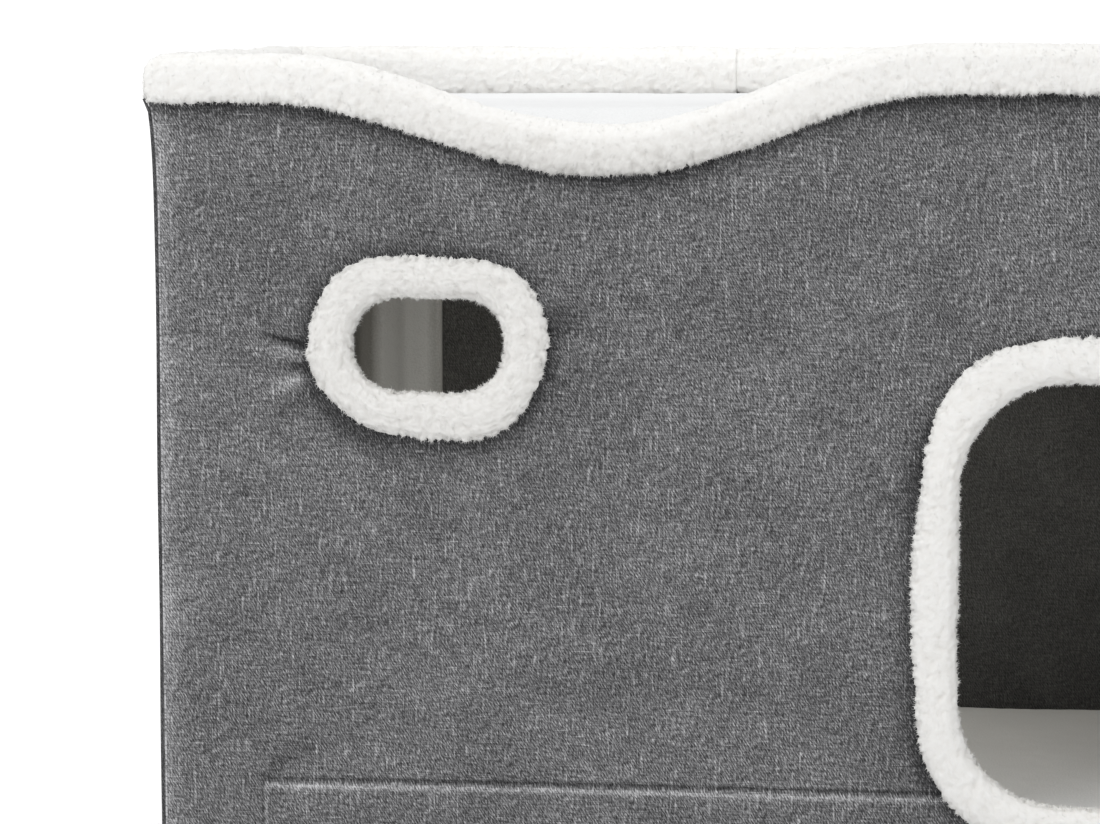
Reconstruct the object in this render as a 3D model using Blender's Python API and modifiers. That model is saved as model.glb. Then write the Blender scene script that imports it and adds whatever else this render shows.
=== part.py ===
"""A wide fabric cat house: one den with a middle entrance and two peep windows, and two lounges on top.

Each wall is a stiff board between a padded cover and a thin lining. A folded strip of sherpa closes every
raw edge: round the entrance, round the windows and along the rim, whose front dips in two scoops.
Corner boards and ledges inside carry two lift-out decks with a cushion on each.

Metres, +Z up, +X to the right of someone facing the entrance, +Y to the back.
The origin is on the floor, under the middle of the house.
"""

import math

import bmesh
import bpy
from mathutils import Matrix, Vector

MM = 0.001

# Driving sizes of the house, over the covers
WIDTH = 1000 * MM
DEPTH = 400 * MM
RIM_HEIGHT = 460 * MM

# Room left between pieces that touch
GAP = 0.3 * MM

# Layers of a wall, from outside to inside
COVER = 3.0 * MM
COVER_SKIN = 0.9 * MM
BOARD = 5.0 * MM
LINING = 1.2 * MM

# Layers of the floor, from below
FLOOR_CLOTH = 1.2 * MM
FLOOR_CLOTH_INSET = 0.5 * MM
FLOOR_BOARD = 5.0 * MM
FLOOR_LINING = 1.0 * MM

# Sherpa strips, folded over the board's edge between the cover's hem and the lining's hem
SHERPA = 5.0 * MM
SHERPA_ROUND = 4.0 * MM
SHERPA_HEM_ROUND = 2.0 * MM
RIM_BAND = 25 * MM
RIM_INNER_BAND = 30 * MM
RIM_JOINT_X = -216 * MM
RING_BAND = 24 * MM
RING_INNER_BAND = 15 * MM

# Scoops in the front rim
SCOOP_FROM_SIDE = 231 * MM
SCOOP_DROP = 36 * MM
SCOOP_OUTER_REACH = 190 * MM
SCOOP_INNER_REACH = 180 * MM
CREST_RISE = 5 * MM
SCOOP_STEPS = 14

# Clear openings inside their sherpa
ENTRANCE_WIDTH = 182 * MM
ENTRANCE_SILL = 80 * MM
ENTRANCE_BELOW_DECK = 76 * MM
ENTRANCE_RADIUS = 54 * MM
WINDOW_WIDTH = 77 * MM
WINDOW_HEIGHT = 48 * MM
WINDOW_RADIUS = 23 * MM
WINDOW_FROM_SIDE = 140 * MM
WINDOW_BELOW_RIM = 147 * MM
CORNER_STEPS = 6

# Stiffener strip in a pocket of the front cover
KICK_FROM_SIDE = 54 * MM
KICK_TOP = 86 * MM
KICK_BOTTOM = 6 * MM
KICK_TO_RING = 4 * MM

# Corded seams at the upright corners
PIPING_RADIUS = 1.0 * MM

# Padded corner boards that carry the decks
CORNER_BOARD = 10 * MM
CORNER_LEG = 90 * MM
CORNER_TO_WINDOW = 16 * MM
CORNER_FILLET = 30 * MM
FILLET_STEPS = 5

# Ledges and decks
DECK_BELOW_RIM = 83 * MM
DECK = 5 * MM
LEDGE_HEIGHT = 11.2 * MM
LEDGE_DEPTH = 15 * MM
DECK_PLAY = 1.0 * MM
DECK_CORNER = 8 * MM

# Cushions
LOUNGE_CUSHION = 52.5 * MM
CUSHION_PLAY = 1.0 * MM
DEN_CUSHION = 50 * MM
DEN_CUSHION_PLAY = 12 * MM
CUSHION_ROUND = 16 * MM

# Places that follow from the sizes above
FRONT = -DEPTH / 2
SIDE = WIDTH / 2
SHERPA_WRAP = GAP + SHERPA
WALL_TOP = RIM_HEIGHT - SHERPA_WRAP
HEM_DROP = RIM_BAND - SHERPA_WRAP + GAP
INNER_HEM_DROP = RIM_INNER_BAND - SHERPA_WRAP + GAP
FLOOR_BASE = FLOOR_CLOTH + GAP
FLOOR_TOP = FLOOR_BASE + FLOOR_BOARD + GAP + FLOOR_LINING
COVER_END = 2 * PIPING_RADIUS + GAP
BOARD_IN = COVER + GAP
BOARD_MIDDLE = BOARD_IN + BOARD / 2
LINING_IN = BOARD_IN + BOARD + GAP
WALL = LINING_IN + LINING
INNER_X = SIDE - WALL
INNER_Y = DEPTH / 2 - WALL
DECK_TOP = RIM_HEIGHT - DECK_BELOW_RIM
DECK_UNDER = DECK_TOP - DECK
ENTRANCE_TOP = DECK_UNDER - ENTRANCE_BELOW_DECK
WINDOW_X = SIDE - WINDOW_FROM_SIDE
WINDOW_Z = RIM_HEIGHT - WINDOW_BELOW_RIM
SCOOP_X = SIDE - SCOOP_FROM_SIDE
KICK = COVER - COVER_SKIN - GAP
RIM_INSIDE_X = SIDE - BOARD_MIDDLE - BOARD / 2 - SHERPA_WRAP
RIM_INSIDE_Y = DEPTH / 2 - BOARD_MIDDLE - BOARD / 2 - SHERPA_WRAP

COLOURS = {
    "cover_fabric": ((0.17, 0.17, 0.175), 0.95),
    "sherpa": ((0.88, 0.87, 0.84), 1.0),
    "lining": ((0.15, 0.15, 0.15), 0.95),
    "plush": ((0.90, 0.90, 0.89), 1.0),
    "piping": ((0.05, 0.05, 0.055), 0.8),
    "board": ((0.45, 0.33, 0.21), 0.8),
    "stiffener": ((0.75, 0.75, 0.75), 0.5),
}


# Scene, collections and materials


def clear_scene():
    for obj in list(bpy.data.objects):
        bpy.data.objects.remove(obj, do_unlink=True)


def collection(name):
    made = bpy.data.collections.new(name)
    bpy.context.scene.collection.children.link(made)
    return made


def finish(name):
    """The Principled material of that name, made on its first use."""
    found = bpy.data.materials.get(name)
    if found:
        return found
    colour, roughness = COLOURS[name]
    made = bpy.data.materials.new(name)
    made.use_nodes = True
    shader = made.node_tree.nodes["Principled BSDF"]
    shader.inputs["Base Color"].default_value = (*colour, 1.0)
    shader.inputs["Roughness"].default_value = roughness
    shader.inputs["Metallic"].default_value = 0.0
    return made


clear_scene()
HOUSE = collection("cat_house")
CUTTERS = collection("cutters")
ORIGIN = bpy.data.objects.new("house_origin", None)
HOUSE.objects.link(ORIGIN)


def add_object(name, mesh, placing, material):
    made = bpy.data.objects.new(name, mesh)
    made.data.materials.append(finish(material))
    HOUSE.objects.link(made)
    made.parent = ORIGIN
    made.matrix_world = placing
    return made


def adopt(made, name, material):
    """Takes over an object that one of the primitive operators has just made."""
    made.name = made.data.name = name
    made.data.materials.append(finish(material))
    for home in list(made.users_collection):
        home.objects.unlink(made)
    HOUSE.objects.link(made)
    made.parent = ORIGIN
    return made


def carry(carrier, carried):
    """Hangs one piece from another, so that it goes along when the other is lifted."""
    bpy.context.view_layer.update()
    carried.parent = carrier
    carried.matrix_parent_inverse = carrier.matrix_world.inverted()


# Flat outlines, as lists of (across, up) points


def arc(centre, radius, start, end, steps):
    """Points along an arc, from the start angle to the end angle in degrees."""
    points = []
    for step in range(steps + 1):
        angle = math.radians(start + (end - start) * step / steps)
        points.append((centre[0] + radius * math.cos(angle), centre[1] + radius * math.sin(angle)))
    return points


def rounded_rectangle(centre, width, height, radius, steps=CORNER_STEPS):
    """A rectangle with round corners, anticlockwise from its lower right corner."""
    x, y = width / 2 - radius, height / 2 - radius
    corners = ((x, -y, -90), (x, y, 0), (-x, y, 90), (-x, -y, 180))
    points = []
    for across, up, start in corners:
        points += arc((centre[0] + across, centre[1] + up), radius, start, start + 90, steps)
    return points


def rectangle(left, right, bottom, top):
    return [(left, bottom), (right, bottom), (right, top), (left, top)]


def moved_path(path, distance, closed):
    """The path moved to the right of its direction, so that every straight length stays parallel."""
    points = [Vector(point) for point in path]
    count = len(points)
    moved = []
    for index, point in enumerate(points):
        before = points[index - 1] if closed or index > 0 else None
        after = points[(index + 1) % count] if closed or index < count - 1 else None
        headings = []
        if before is not None:
            headings.append((point - before).normalized())
        if after is not None:
            headings.append((after - point).normalized())
        sides = [Vector((heading.y, -heading.x)) for heading in headings]
        mitre_way = (sides[0] + sides[-1]) / (1 + sides[0].dot(sides[-1]))
        moved.append(tuple(point + mitre_way * distance))
    return moved


def front_edge_height(x):
    """Height of the front wall's top edge: a shoulder at each corner, two scoops and a crest between."""
    from_scoop = abs(x) - SCOOP_X
    outside = from_scoop > 0
    reach = SCOOP_OUTER_REACH if outside else SCOOP_INNER_REACH
    level = WALL_TOP if outside else WALL_TOP + CREST_RISE
    low = WALL_TOP - SCOOP_DROP
    share = min(abs(from_scoop) / reach, 1.0)
    return low + (level - low) * (1 - math.cos(math.pi * share)) / 2


def front_edge(half_width):
    """The front wall's top edge from left to right, with points only where it curves."""
    right_side = []
    for step in range(SCOOP_STEPS + 1):
        right_side.append(SCOOP_X - SCOOP_INNER_REACH * (1 - step / SCOOP_STEPS))
    for step in range(1, SCOOP_STEPS + 1):
        right_side.append(SCOOP_X + SCOOP_OUTER_REACH * step / SCOOP_STEPS)
    right_side.append(half_width)
    places = [-x for x in reversed(right_side)] + right_side
    return [(x, front_edge_height(x)) for x in places]


def front_outline(half_width, bottom, drop):
    """The front wall's outline, with its top edge lowered by drop along its whole curve."""
    top = moved_path(front_edge(half_width), drop, closed=False)
    return [(-half_width, bottom), (half_width, bottom)] + list(reversed(top))


def entrance_outline(grow):
    """The entrance's clear outline, moved outwards by grow."""
    middle = (0, (ENTRANCE_TOP + ENTRANCE_SILL) / 2)
    clear = rounded_rectangle(middle, ENTRANCE_WIDTH, ENTRANCE_TOP - ENTRANCE_SILL, ENTRANCE_RADIUS)
    return moved_path(clear, grow, closed=True)


def window_outline(side, grow):
    """A window's clear outline, moved outwards by grow."""
    clear = rounded_rectangle((side * WINDOW_X, WINDOW_Z), WINDOW_WIDTH, WINDOW_HEIGHT, WINDOW_RADIUS)
    return moved_path(clear, grow, closed=True)


def wall_holes(grow):
    """The three holes through a layer of the front wall."""
    return [entrance_outline(grow), window_outline(-1, grow), window_outline(1, grow)]


# Solids from outlines


def flat_curve(name, outlines, cyclic=True):
    curve = bpy.data.curves.new(name, "CURVE")
    curve.dimensions = "2D"
    for outline in outlines:
        spline = curve.splines.new("POLY")
        spline.points.add(len(outline) - 1)
        for point, (across, up) in zip(spline.points, outline):
            point.co = (across, up, 0, 1)
        spline.use_cyclic_u = cyclic
    return curve


def solid_from_curve(name, curve, placing, material):
    """Turns a filled curve into one welded mesh object."""
    carrier = bpy.data.objects.new(name, curve)
    CUTTERS.objects.link(carrier)
    graph = bpy.context.evaluated_depsgraph_get()
    mesh = bpy.data.meshes.new_from_object(carrier.evaluated_get(graph))
    bpy.data.objects.remove(carrier)
    mesh.name = name
    mesh.materials.clear()
    body = bmesh.new()
    body.from_mesh(mesh)
    bmesh.ops.remove_doubles(body, verts=body.verts, dist=0.01 * MM)
    bmesh.ops.recalc_face_normals(body, faces=body.faces)
    body.to_mesh(mesh)
    body.free()
    return add_object(name, mesh, placing, material)


# A flat outline is drawn in X and Z for a front or back wall, in Y and Z for a side, in X and Y for a deck
FACING_Y = Matrix.Rotation(math.pi / 2, 4, "X")
FACING_X = Matrix.Rotation(math.pi / 2, 4, "Z") @ FACING_Y
LEVEL = Matrix.Identity(4)


def at(x, y, z, turn=LEVEL):
    return Matrix.Translation((x, y, z)) @ turn


def plate(name, outlines, thickness, placing, material):
    """A flat piece of that thickness, with its mid plane at the placing. Inner outlines become holes."""
    curve = flat_curve(name, outlines)
    curve.fill_mode = "BOTH"
    curve.extrude = thickness / 2
    return solid_from_curve(name, curve, placing, material)


def sweep(name, path, profile, placing, closed, material):
    """A strip of constant section along a flat path.

    The profile's points are (away from a ring's middle or up from an edge, out of the path's plane).
    """
    section_curve = flat_curve(name + "_section", [[(-away, out) for away, out in profile]])
    section = bpy.data.objects.new(name + "_section", section_curve)
    CUTTERS.objects.link(section)
    curve = flat_curve(name, [path], cyclic=closed)
    curve.fill_mode = "NONE"
    curve.bevel_mode = "OBJECT"
    curve.bevel_object = section
    curve.use_fill_caps = not closed
    made = solid_from_curve(name, curve, placing, material)
    bpy.data.objects.remove(section)
    return made


def trim_by_plane(obj, placing, point, outward):
    """Cuts off what lies beyond a plane and closes the cut."""
    back = placing.inverted()
    body = bmesh.new()
    body.from_mesh(obj.data)
    cut = bmesh.ops.bisect_plane(
        body,
        geom=body.verts[:] + body.edges[:] + body.faces[:],
        plane_co=back @ Vector(point),
        plane_no=back.to_3x3() @ Vector(outward),
        clear_outer=True,
        dist=0.001 * MM,
    )
    rim = [item for item in cut["geom_cut"] if isinstance(item, bmesh.types.BMEdge)]
    bmesh.ops.triangle_fill(body, edges=rim, use_beauty=True)
    bmesh.ops.recalc_face_normals(body, faces=body.faces)
    body.to_mesh(obj.data)
    body.free()


LEFTWARD, RIGHTWARD = Vector((-1, 0, 0)), Vector((1, 0, 0))
FORWARD, BACKWARD = Vector((0, -1, 0)), Vector((0, 1, 0))


def mitre(obj, placing, heading, x_side, y_side):
    """Cuts a piece of a wall on the diagonal of a corner, leaving half a gap. heading leads to that end."""
    seam = Vector((y_side, -x_side, 0))
    outward = seam if seam.dot(heading) > 0 else -seam
    corner = Vector((x_side * SIDE, y_side * DEPTH / 2, 0))
    trim_by_plane(obj, placing, corner - outward.normalized() * GAP / 2, outward)


def cut_out(obj, cutter):
    """Removes the cutter's shape from the object."""
    cutter.hide_render = True
    cutter.display_type = "WIRE"
    HOUSE.objects.unlink(cutter)
    CUTTERS.objects.link(cutter)
    modifier = obj.modifiers.new("cut_" + cutter.name, "BOOLEAN")
    modifier.operation = "DIFFERENCE"
    modifier.object = cutter


def block(name, low, high, material, rounding=0.0, segments=3):
    """A box between two corners, with its edges rounded if asked."""
    low, high = Vector(low), Vector(high)
    bpy.ops.mesh.primitive_cube_add(size=1, location=(low + high) / 2)
    made = bpy.context.object
    made.scale = high - low
    bpy.ops.object.transform_apply(location=False, rotation=False, scale=True)
    adopt(made, name, material)
    if rounding:
        bevel = made.modifiers.new("rounded_edges", "BEVEL")
        bevel.width = rounding
        bevel.segments = segments
        bevel.limit_method = "NONE"
    return made


# Floor


def make_floor():
    """The cloth that meets the ground, the board on it, and the lining over the board."""
    wide, deep = WIDTH - 2 * FLOOR_CLOTH_INSET, DEPTH - 2 * FLOOR_CLOTH_INSET
    cloth = rounded_rectangle((0, 0), wide, deep, PIPING_RADIUS, steps=2)
    plate("floor_cloth", [cloth], FLOOR_CLOTH, at(0, 0, FLOOR_CLOTH / 2), "lining")
    x, y = SIDE - LINING_IN, DEPTH / 2 - LINING_IN
    low = FLOOR_BASE
    block("floor_board", (-x, -y, low), (x, y, low + FLOOR_BOARD), "board")
    low = FLOOR_TOP - FLOOR_LINING
    block("floor_lining", (-x, -y, low), (x, y, FLOOR_TOP), "lining")


# Walls


def make_front_wall():
    """Cover, board and lining with the same scooped top and the same three holes, and the stiffener strip."""
    cover_outline = front_outline(SIDE - COVER_END, FLOOR_BASE, HEM_DROP)
    place = at(0, FRONT + COVER / 2, 0, FACING_Y)
    holes = wall_holes(RING_BAND + GAP)
    cover = plate("front_cover", [cover_outline] + holes, COVER, place, "cover_fabric")
    mitre(cover, place, LEFTWARD, -1, -1)
    mitre(cover, place, RIGHTWARD, 1, -1)
    board_outline = front_outline(SIDE - BOARD_IN, FLOOR_BASE, 0)
    plate(
        "front_board",
        [board_outline] + wall_holes(SHERPA_WRAP),
        BOARD,
        at(0, FRONT + BOARD_MIDDLE, 0, FACING_Y),
        "board",
    )
    lining_outline = front_outline(SIDE - LINING_IN, FLOOR_TOP + GAP, INNER_HEM_DROP)
    plate(
        "front_lining",
        [lining_outline] + wall_holes(RING_INNER_BAND + GAP),
        LINING,
        at(0, FRONT + LINING_IN + LINING / 2, 0, FACING_Y),
        "lining",
    )
    make_kick_strip(cover)


def kick_outline(grow):
    """The stiffener strip's outline, with a notch round the entrance's trim, moved outwards by grow."""
    half = SIDE - KICK_FROM_SIDE + grow
    notch = ENTRANCE_WIDTH / 2 + RING_BAND + KICK_TO_RING - grow
    low = ENTRANCE_SILL - RING_BAND - KICK_TO_RING + grow
    bottom, top = KICK_BOTTOM - grow, KICK_TOP + grow
    right = [(half, bottom), (half, top), (notch, top), (notch, low)]
    return right + [(-across, up) for across, up in reversed(right)]


def make_kick_strip(cover):
    """A thin plastic strip along the foot of the front wall, in a pocket at the back of the padded cover."""
    inner_face = FRONT + COVER
    strip_place = at(0, inner_face - KICK / 2, 0, FACING_Y)
    plate("kick_strip", [kick_outline(0)], KICK, strip_place, "stiffener")
    pocket_depth = COVER - COVER_SKIN
    pocket_place = at(0, inner_face, 0, FACING_Y)
    pocket = plate("kick_pocket", [kick_outline(GAP)], 2 * pocket_depth, pocket_place, "stiffener")
    cut_out(cover, pocket)


def make_straight_wall(name, half_widths, corners, place):
    """A plain wall. place gives a layer's placing from its distance inside the cover's face.

    corners holds, for each end, the way to it and the sides that it lies on.
    """
    cover_half, board_half, lining_half = half_widths
    outline = rectangle(-cover_half, cover_half, FLOOR_BASE, WALL_TOP - HEM_DROP)
    cover = plate(name + "_cover", [outline], COVER, place(COVER / 2), "cover_fabric")
    for heading, x_side, y_side in corners:
        mitre(cover, place(COVER / 2), heading, x_side, y_side)
    board = rectangle(-board_half, board_half, FLOOR_BASE, WALL_TOP)
    plate(name + "_board", [board], BOARD, place(BOARD_MIDDLE), "board")
    lining = rectangle(-lining_half, lining_half, FLOOR_TOP + GAP, WALL_TOP - INNER_HEM_DROP)
    plate(name + "_lining", [lining], LINING, place(LINING_IN + LINING / 2), "lining")


def make_back_wall():
    half_widths = (SIDE - COVER_END, SIDE - BOARD_IN, SIDE - LINING_IN)
    corners = ((LEFTWARD, -1, 1), (RIGHTWARD, 1, 1))
    make_straight_wall("back", half_widths, corners, lambda inward: at(0, -FRONT - inward, 0, FACING_Y))


def make_side_walls():
    half = DEPTH / 2
    half_widths = (half - COVER_END, half - LINING_IN, half - WALL - GAP)
    for name, side in (("left", -1), ("right", 1)):
        corners = ((FORWARD, side, -1), (BACKWARD, side, 1))
        make_straight_wall(
            name, half_widths, corners, lambda inward: at(side * (SIDE - inward), 0, 0, FACING_X)
        )


def make_corner_piping():
    """A cord in each upright corner seam, from the floor cloth to the hem of the rim."""
    bottom, top = FLOOR_BASE, RIM_HEIGHT - RIM_BAND - GAP
    x, y = SIDE - PIPING_RADIUS, DEPTH / 2 - PIPING_RADIUS
    for end_name, end in (("front", -1), ("back", 1)):
        for side_name, side in (("left", -1), ("right", 1)):
            place = (side * x, end * y, (top + bottom) / 2)
            bpy.ops.mesh.primitive_cylinder_add(
                vertices=12, radius=PIPING_RADIUS, depth=top - bottom, location=place
            )
            cord = adopt(bpy.context.object, f"{end_name}_{side_name}_piping", "piping")
            cord.data.shade_smooth()


# Sherpa strips


def sherpa_rounds():
    """The radii of a strip's folds and hems, which can't be more than its thickness allows."""
    return min(SHERPA_ROUND, 0.85 * SHERPA), min(SHERPA_HEM_ROUND, 0.45 * SHERPA)


def rim_profile():
    """The folded strip's section: (up from the board's top edge, towards the outside of the house)."""
    near = BOARD / 2 + GAP
    far = near + SHERPA
    top = SHERPA_WRAP
    hem, inner_hem = top - RIM_BAND, top - RIM_INNER_BAND
    big, small = sherpa_rounds()
    points = arc((top - big, far - big), big, 90, 0, 3)
    points += arc((top - big, big - far), big, 0, -90, 3)
    points += arc((inner_hem + small, small - far), small, 270, 180, 2)
    points += [(inner_hem, -near), (GAP, -near), (GAP, near), (hem, near)]
    points += arc((hem + small, far - small), small, 180, 90, 2)
    return points


def make_rim():
    """Five strips: the scooped front, the two sides, and two at the back that meet at a joint."""
    outside_first = rim_profile()
    outside_last = [(up, -out) for up, out in reversed(outside_first)]

    reach = SIDE + SHERPA_WRAP
    place = at(0, FRONT + BOARD_MIDDLE, 0, FACING_Y)
    front = sweep("rim_front", front_edge(reach), outside_first, place, False, "sherpa")
    mitre(front, place, LEFTWARD, -1, -1)
    mitre(front, place, RIGHTWARD, 1, -1)

    place = at(0, DEPTH / 2 - BOARD_MIDDLE, 0, FACING_Y)
    path = [(-reach, WALL_TOP), (RIM_JOINT_X - GAP / 2, WALL_TOP)]
    mitre(sweep("rim_back_left", path, outside_last, place, False, "sherpa"), place, LEFTWARD, -1, 1)
    path = [(RIM_JOINT_X + GAP / 2, WALL_TOP), (reach, WALL_TOP)]
    mitre(sweep("rim_back_right", path, outside_last, place, False, "sherpa"), place, RIGHTWARD, 1, 1)

    reach = DEPTH / 2 + SHERPA_WRAP
    path = [(-reach, WALL_TOP), (reach, WALL_TOP)]
    for name, side, section in (("rim_left", -1, outside_last), ("rim_right", 1, outside_first)):
        place = at(side * (SIDE - BOARD_MIDDLE), 0, 0, FACING_X)
        strip = sweep(name, path, section, place, False, "sherpa")
        mitre(strip, place, FORWARD, side, -1)
        mitre(strip, place, BACKWARD, side, 1)


def ring_profile():
    """The folded strip round a hole: (away from the clear opening, towards the front)."""
    near = BOARD / 2 + GAP
    far = near + SHERPA
    big, small = sherpa_rounds()
    points = arc((RING_BAND - small, far - small), small, 0, 90, 2)
    points += arc((big, far - big), big, 90, 180, 3)
    points += arc((big, big - far), big, 180, 270, 3)
    points += arc((RING_INNER_BAND - small, small - far), small, -90, 0, 2)
    points += [(RING_INNER_BAND, -near), (SHERPA, -near), (SHERPA, near), (RING_BAND, near)]
    return points


def make_rings():
    """One closed strip round the entrance and one round each window."""
    place = at(0, FRONT + BOARD_MIDDLE, 0, FACING_Y)
    profile = ring_profile()
    sweep("entrance_ring", entrance_outline(0), profile, place, True, "sherpa")
    for side_name, side in (("left", -1), ("right", 1)):
        sweep(side_name + "_window_ring", window_outline(side, 0), profile, place, True, "sherpa")


# Inside


def corner_outline(x_side, y_side, leg_x, leg_y):
    """An L with a filleted inner corner, drawn from the corner where its two walls meet."""
    inner = -CORNER_BOARD
    centre = inner - CORNER_FILLET
    points = [(0, 0), (-leg_x, 0), (-leg_x, inner)]
    points += arc((centre, centre), CORNER_FILLET, 90, 0, FILLET_STEPS)
    points += [(inner, -leg_y), (0, -leg_y)]
    return [(x_side * x, y_side * y) for x, y in points]


def front_leg():
    """How far a front corner board reaches along the front wall, short of the window's trim."""
    trim_edge = WINDOW_X + WINDOW_WIDTH / 2 + RING_INNER_BAND
    return min(CORNER_LEG, INNER_X - GAP - trim_edge - CORNER_TO_WINDOW)


def make_corner_boards():
    """Padded boards that line the four corners, from the floor to the decks."""
    bottom, top = FLOOR_TOP + GAP, DECK_UNDER - GAP
    x, y = INNER_X - GAP, INNER_Y - GAP
    for end_name, end in (("front", -1), ("back", 1)):
        leg_x = front_leg() if end < 0 else CORNER_LEG
        for side_name, side in (("left", -1), ("right", 1)):
            outline = corner_outline(side, end, leg_x, CORNER_LEG)
            place = at(side * x, end * y, (top + bottom) / 2)
            plate(f"{end_name}_{side_name}_corner_board", [outline], top - bottom, place, "plush")


def make_ledges():
    """Strips between the corner boards, level with their tops, for the edges of the decks."""
    top = DECK_UNDER - GAP
    bottom = top - LEDGE_HEIGHT
    wall_x, wall_y = INNER_X - GAP, INNER_Y - GAP
    front_half = wall_x - front_leg() - GAP
    back_half = wall_x - CORNER_LEG - GAP
    side_half = wall_y - CORNER_LEG - GAP
    inside_x, inside_y = wall_x - LEDGE_DEPTH, wall_y - LEDGE_DEPTH
    block("front_ledge", (-front_half, -wall_y, bottom), (front_half, -inside_y, top), "board")
    block("back_ledge", (-back_half, inside_y, bottom), (back_half, wall_y, top), "board")
    block("left_ledge", (-wall_x, -side_half, bottom), (-inside_x, side_half, top), "board")
    block("right_ledge", (inside_x, -side_half, bottom), (wall_x, side_half, top), "board")


def make_lounge(side_name, side):
    """A deck that lifts straight out between the sherpa strips of the rim, and the cushion on it."""
    outer, deep = RIM_INSIDE_X - DECK_PLAY, RIM_INSIDE_Y - DECK_PLAY
    outline = rounded_rectangle((0, 0), outer - DECK_PLAY, 2 * deep, DECK_CORNER, steps=3)
    place = at(side * (outer + DECK_PLAY) / 2, 0, DECK_TOP - DECK / 2)
    deck = plate(side_name + "_deck", [outline], DECK, place, "board")

    outer, deep = outer - CUSHION_PLAY, deep - CUSHION_PLAY
    near, far = sorted((side * (DECK_PLAY + CUSHION_PLAY), side * outer))
    bottom = DECK_TOP + GAP
    low, high = (near, -deep, bottom), (far, deep, bottom + LOUNGE_CUSHION)
    carry(deck, block(side_name + "_lounge_cushion", low, high, "plush", CUSHION_ROUND))


def make_den_cushion():
    x = INNER_X - CORNER_BOARD - DEN_CUSHION_PLAY
    y = INNER_Y - CORNER_BOARD - DEN_CUSHION_PLAY
    bottom = FLOOR_TOP + GAP
    block("den_cushion", (-x, -y, bottom), (x, y, bottom + DEN_CUSHION), "plush", CUSHION_ROUND)


def main():
    make_floor()
    make_front_wall()
    make_back_wall()
    make_side_walls()
    make_corner_piping()
    make_rim()
    make_rings()
    make_corner_boards()
    make_ledges()
    make_lounge("left", -1)
    make_lounge("right", 1)
    make_den_cushion()


main()
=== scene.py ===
# %% [markdown]
# # A fabric cat house with sherpa trim
# The real house is a box of stiff boards in grey heather cloth, with a folded strip of white sherpa over
# every raw edge. Two cushions lie on boards at the top, and a cat goes in at the middle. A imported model
# already settles the boards, their sizes and how they move. This lesson loads it as a fixed frame and
# makes what the eye sees: cloth, sherpa, cords, plush and cushions.

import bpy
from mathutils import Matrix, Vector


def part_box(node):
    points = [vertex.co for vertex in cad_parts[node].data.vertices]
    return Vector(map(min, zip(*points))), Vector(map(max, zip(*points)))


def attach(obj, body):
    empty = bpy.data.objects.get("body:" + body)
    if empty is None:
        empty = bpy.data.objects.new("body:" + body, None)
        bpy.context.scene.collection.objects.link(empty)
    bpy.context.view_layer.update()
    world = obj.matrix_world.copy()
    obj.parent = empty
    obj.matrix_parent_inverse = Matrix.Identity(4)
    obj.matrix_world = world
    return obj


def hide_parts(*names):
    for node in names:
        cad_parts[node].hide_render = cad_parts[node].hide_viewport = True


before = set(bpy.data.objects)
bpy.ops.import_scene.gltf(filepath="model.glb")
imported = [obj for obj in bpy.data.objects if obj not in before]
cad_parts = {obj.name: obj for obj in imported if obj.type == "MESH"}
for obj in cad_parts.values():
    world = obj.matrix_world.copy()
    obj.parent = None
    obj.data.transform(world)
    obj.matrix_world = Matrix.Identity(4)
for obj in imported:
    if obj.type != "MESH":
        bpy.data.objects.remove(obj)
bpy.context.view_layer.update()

# %% [markdown]
# ## Tools and measures
# Every place below is read from the frame, so a piece lies where its solid lies. Numbers are metres,
# and MM keeps the small ones readable.

# %% The house's own measures
import math

import bmesh
import bpy
import numpy as np
from mathutils import Vector, noise

MM = 0.001
COARSER = 1.0
scene = bpy.context.scene


def middle(name, axis):
    """The middle of a node along one axis."""
    low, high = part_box(name)
    return (low[axis] + high[axis]) / 2


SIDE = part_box("right_cover")[1].x
FRONT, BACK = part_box("front_cover")[0].y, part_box("back_cover")[1].y
BASE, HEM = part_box("left_cover")[0].z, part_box("left_cover")[1].z
INNER_HEM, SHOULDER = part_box("rim_left")[0].z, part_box("rim_left")[1].z
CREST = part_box("rim_front")[1].z
SCOOP_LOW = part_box("rim_front")[0].z + SHOULDER - INNER_HEM
BOARD_X, BOARD_Y = middle("right_board", 0), middle("back_board", 1)
BOARD_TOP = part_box("left_board")[1].z
print(f"walls {2 * SIDE:.3f} x {BACK - FRONT:.3f} m, rim at {SHOULDER:.3f}, scoops down to {SCOOP_LOW:.3f}")

# %% [markdown]
# ## The camera
# The picture is taken from a little over rim height, close to the left half of the front. The upright
# edge leans in towards the floor, which tells how far the camera looks down, and where the back rim
# shows behind the front one tells how far away it stands. The house goes on past the frame.

# %% The camera
CAMERA_X, CAMERA_FROM_WALL, CAMERA_OVER_RIM = -157.9 * MM, 1.6, 17.5 * MM
LOOKING_DOWN, LOOKING_LEFT, LENS = math.radians(7.0), math.radians(5.0), 104.73


def add_object(name, data):
    """A new object in the scene."""
    made = bpy.data.objects.new(name, data)
    scene.collection.objects.link(made)
    return made


camera = add_object("camera", bpy.data.cameras.new("camera"))
scene.camera = camera
camera.data.lens = LENS
camera.location = (CAMERA_X, FRONT - CAMERA_FROM_WALL, SHOULDER + CAMERA_OVER_RIM)
camera.rotation_euler = (math.pi / 2 - LOOKING_DOWN, 0, LOOKING_LEFT)
print("camera at", tuple(round(value, 3) for value in camera.location))

# %% [markdown]
# ## Light, floor and background
# The photo has flat, soft light from the front and a little from the left, on pure white. A pale world
# gives the soft part and one large lamp the direction. The den in the photo is brighter than light from
# outside could make it, so a weak lamp hangs under the decks, and a narrow one evens out the light on
# the far rim. The background's white is only for the camera and for mirrored rays, so it adds no light
# to the house, and the floor keeps the shadow.

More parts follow.
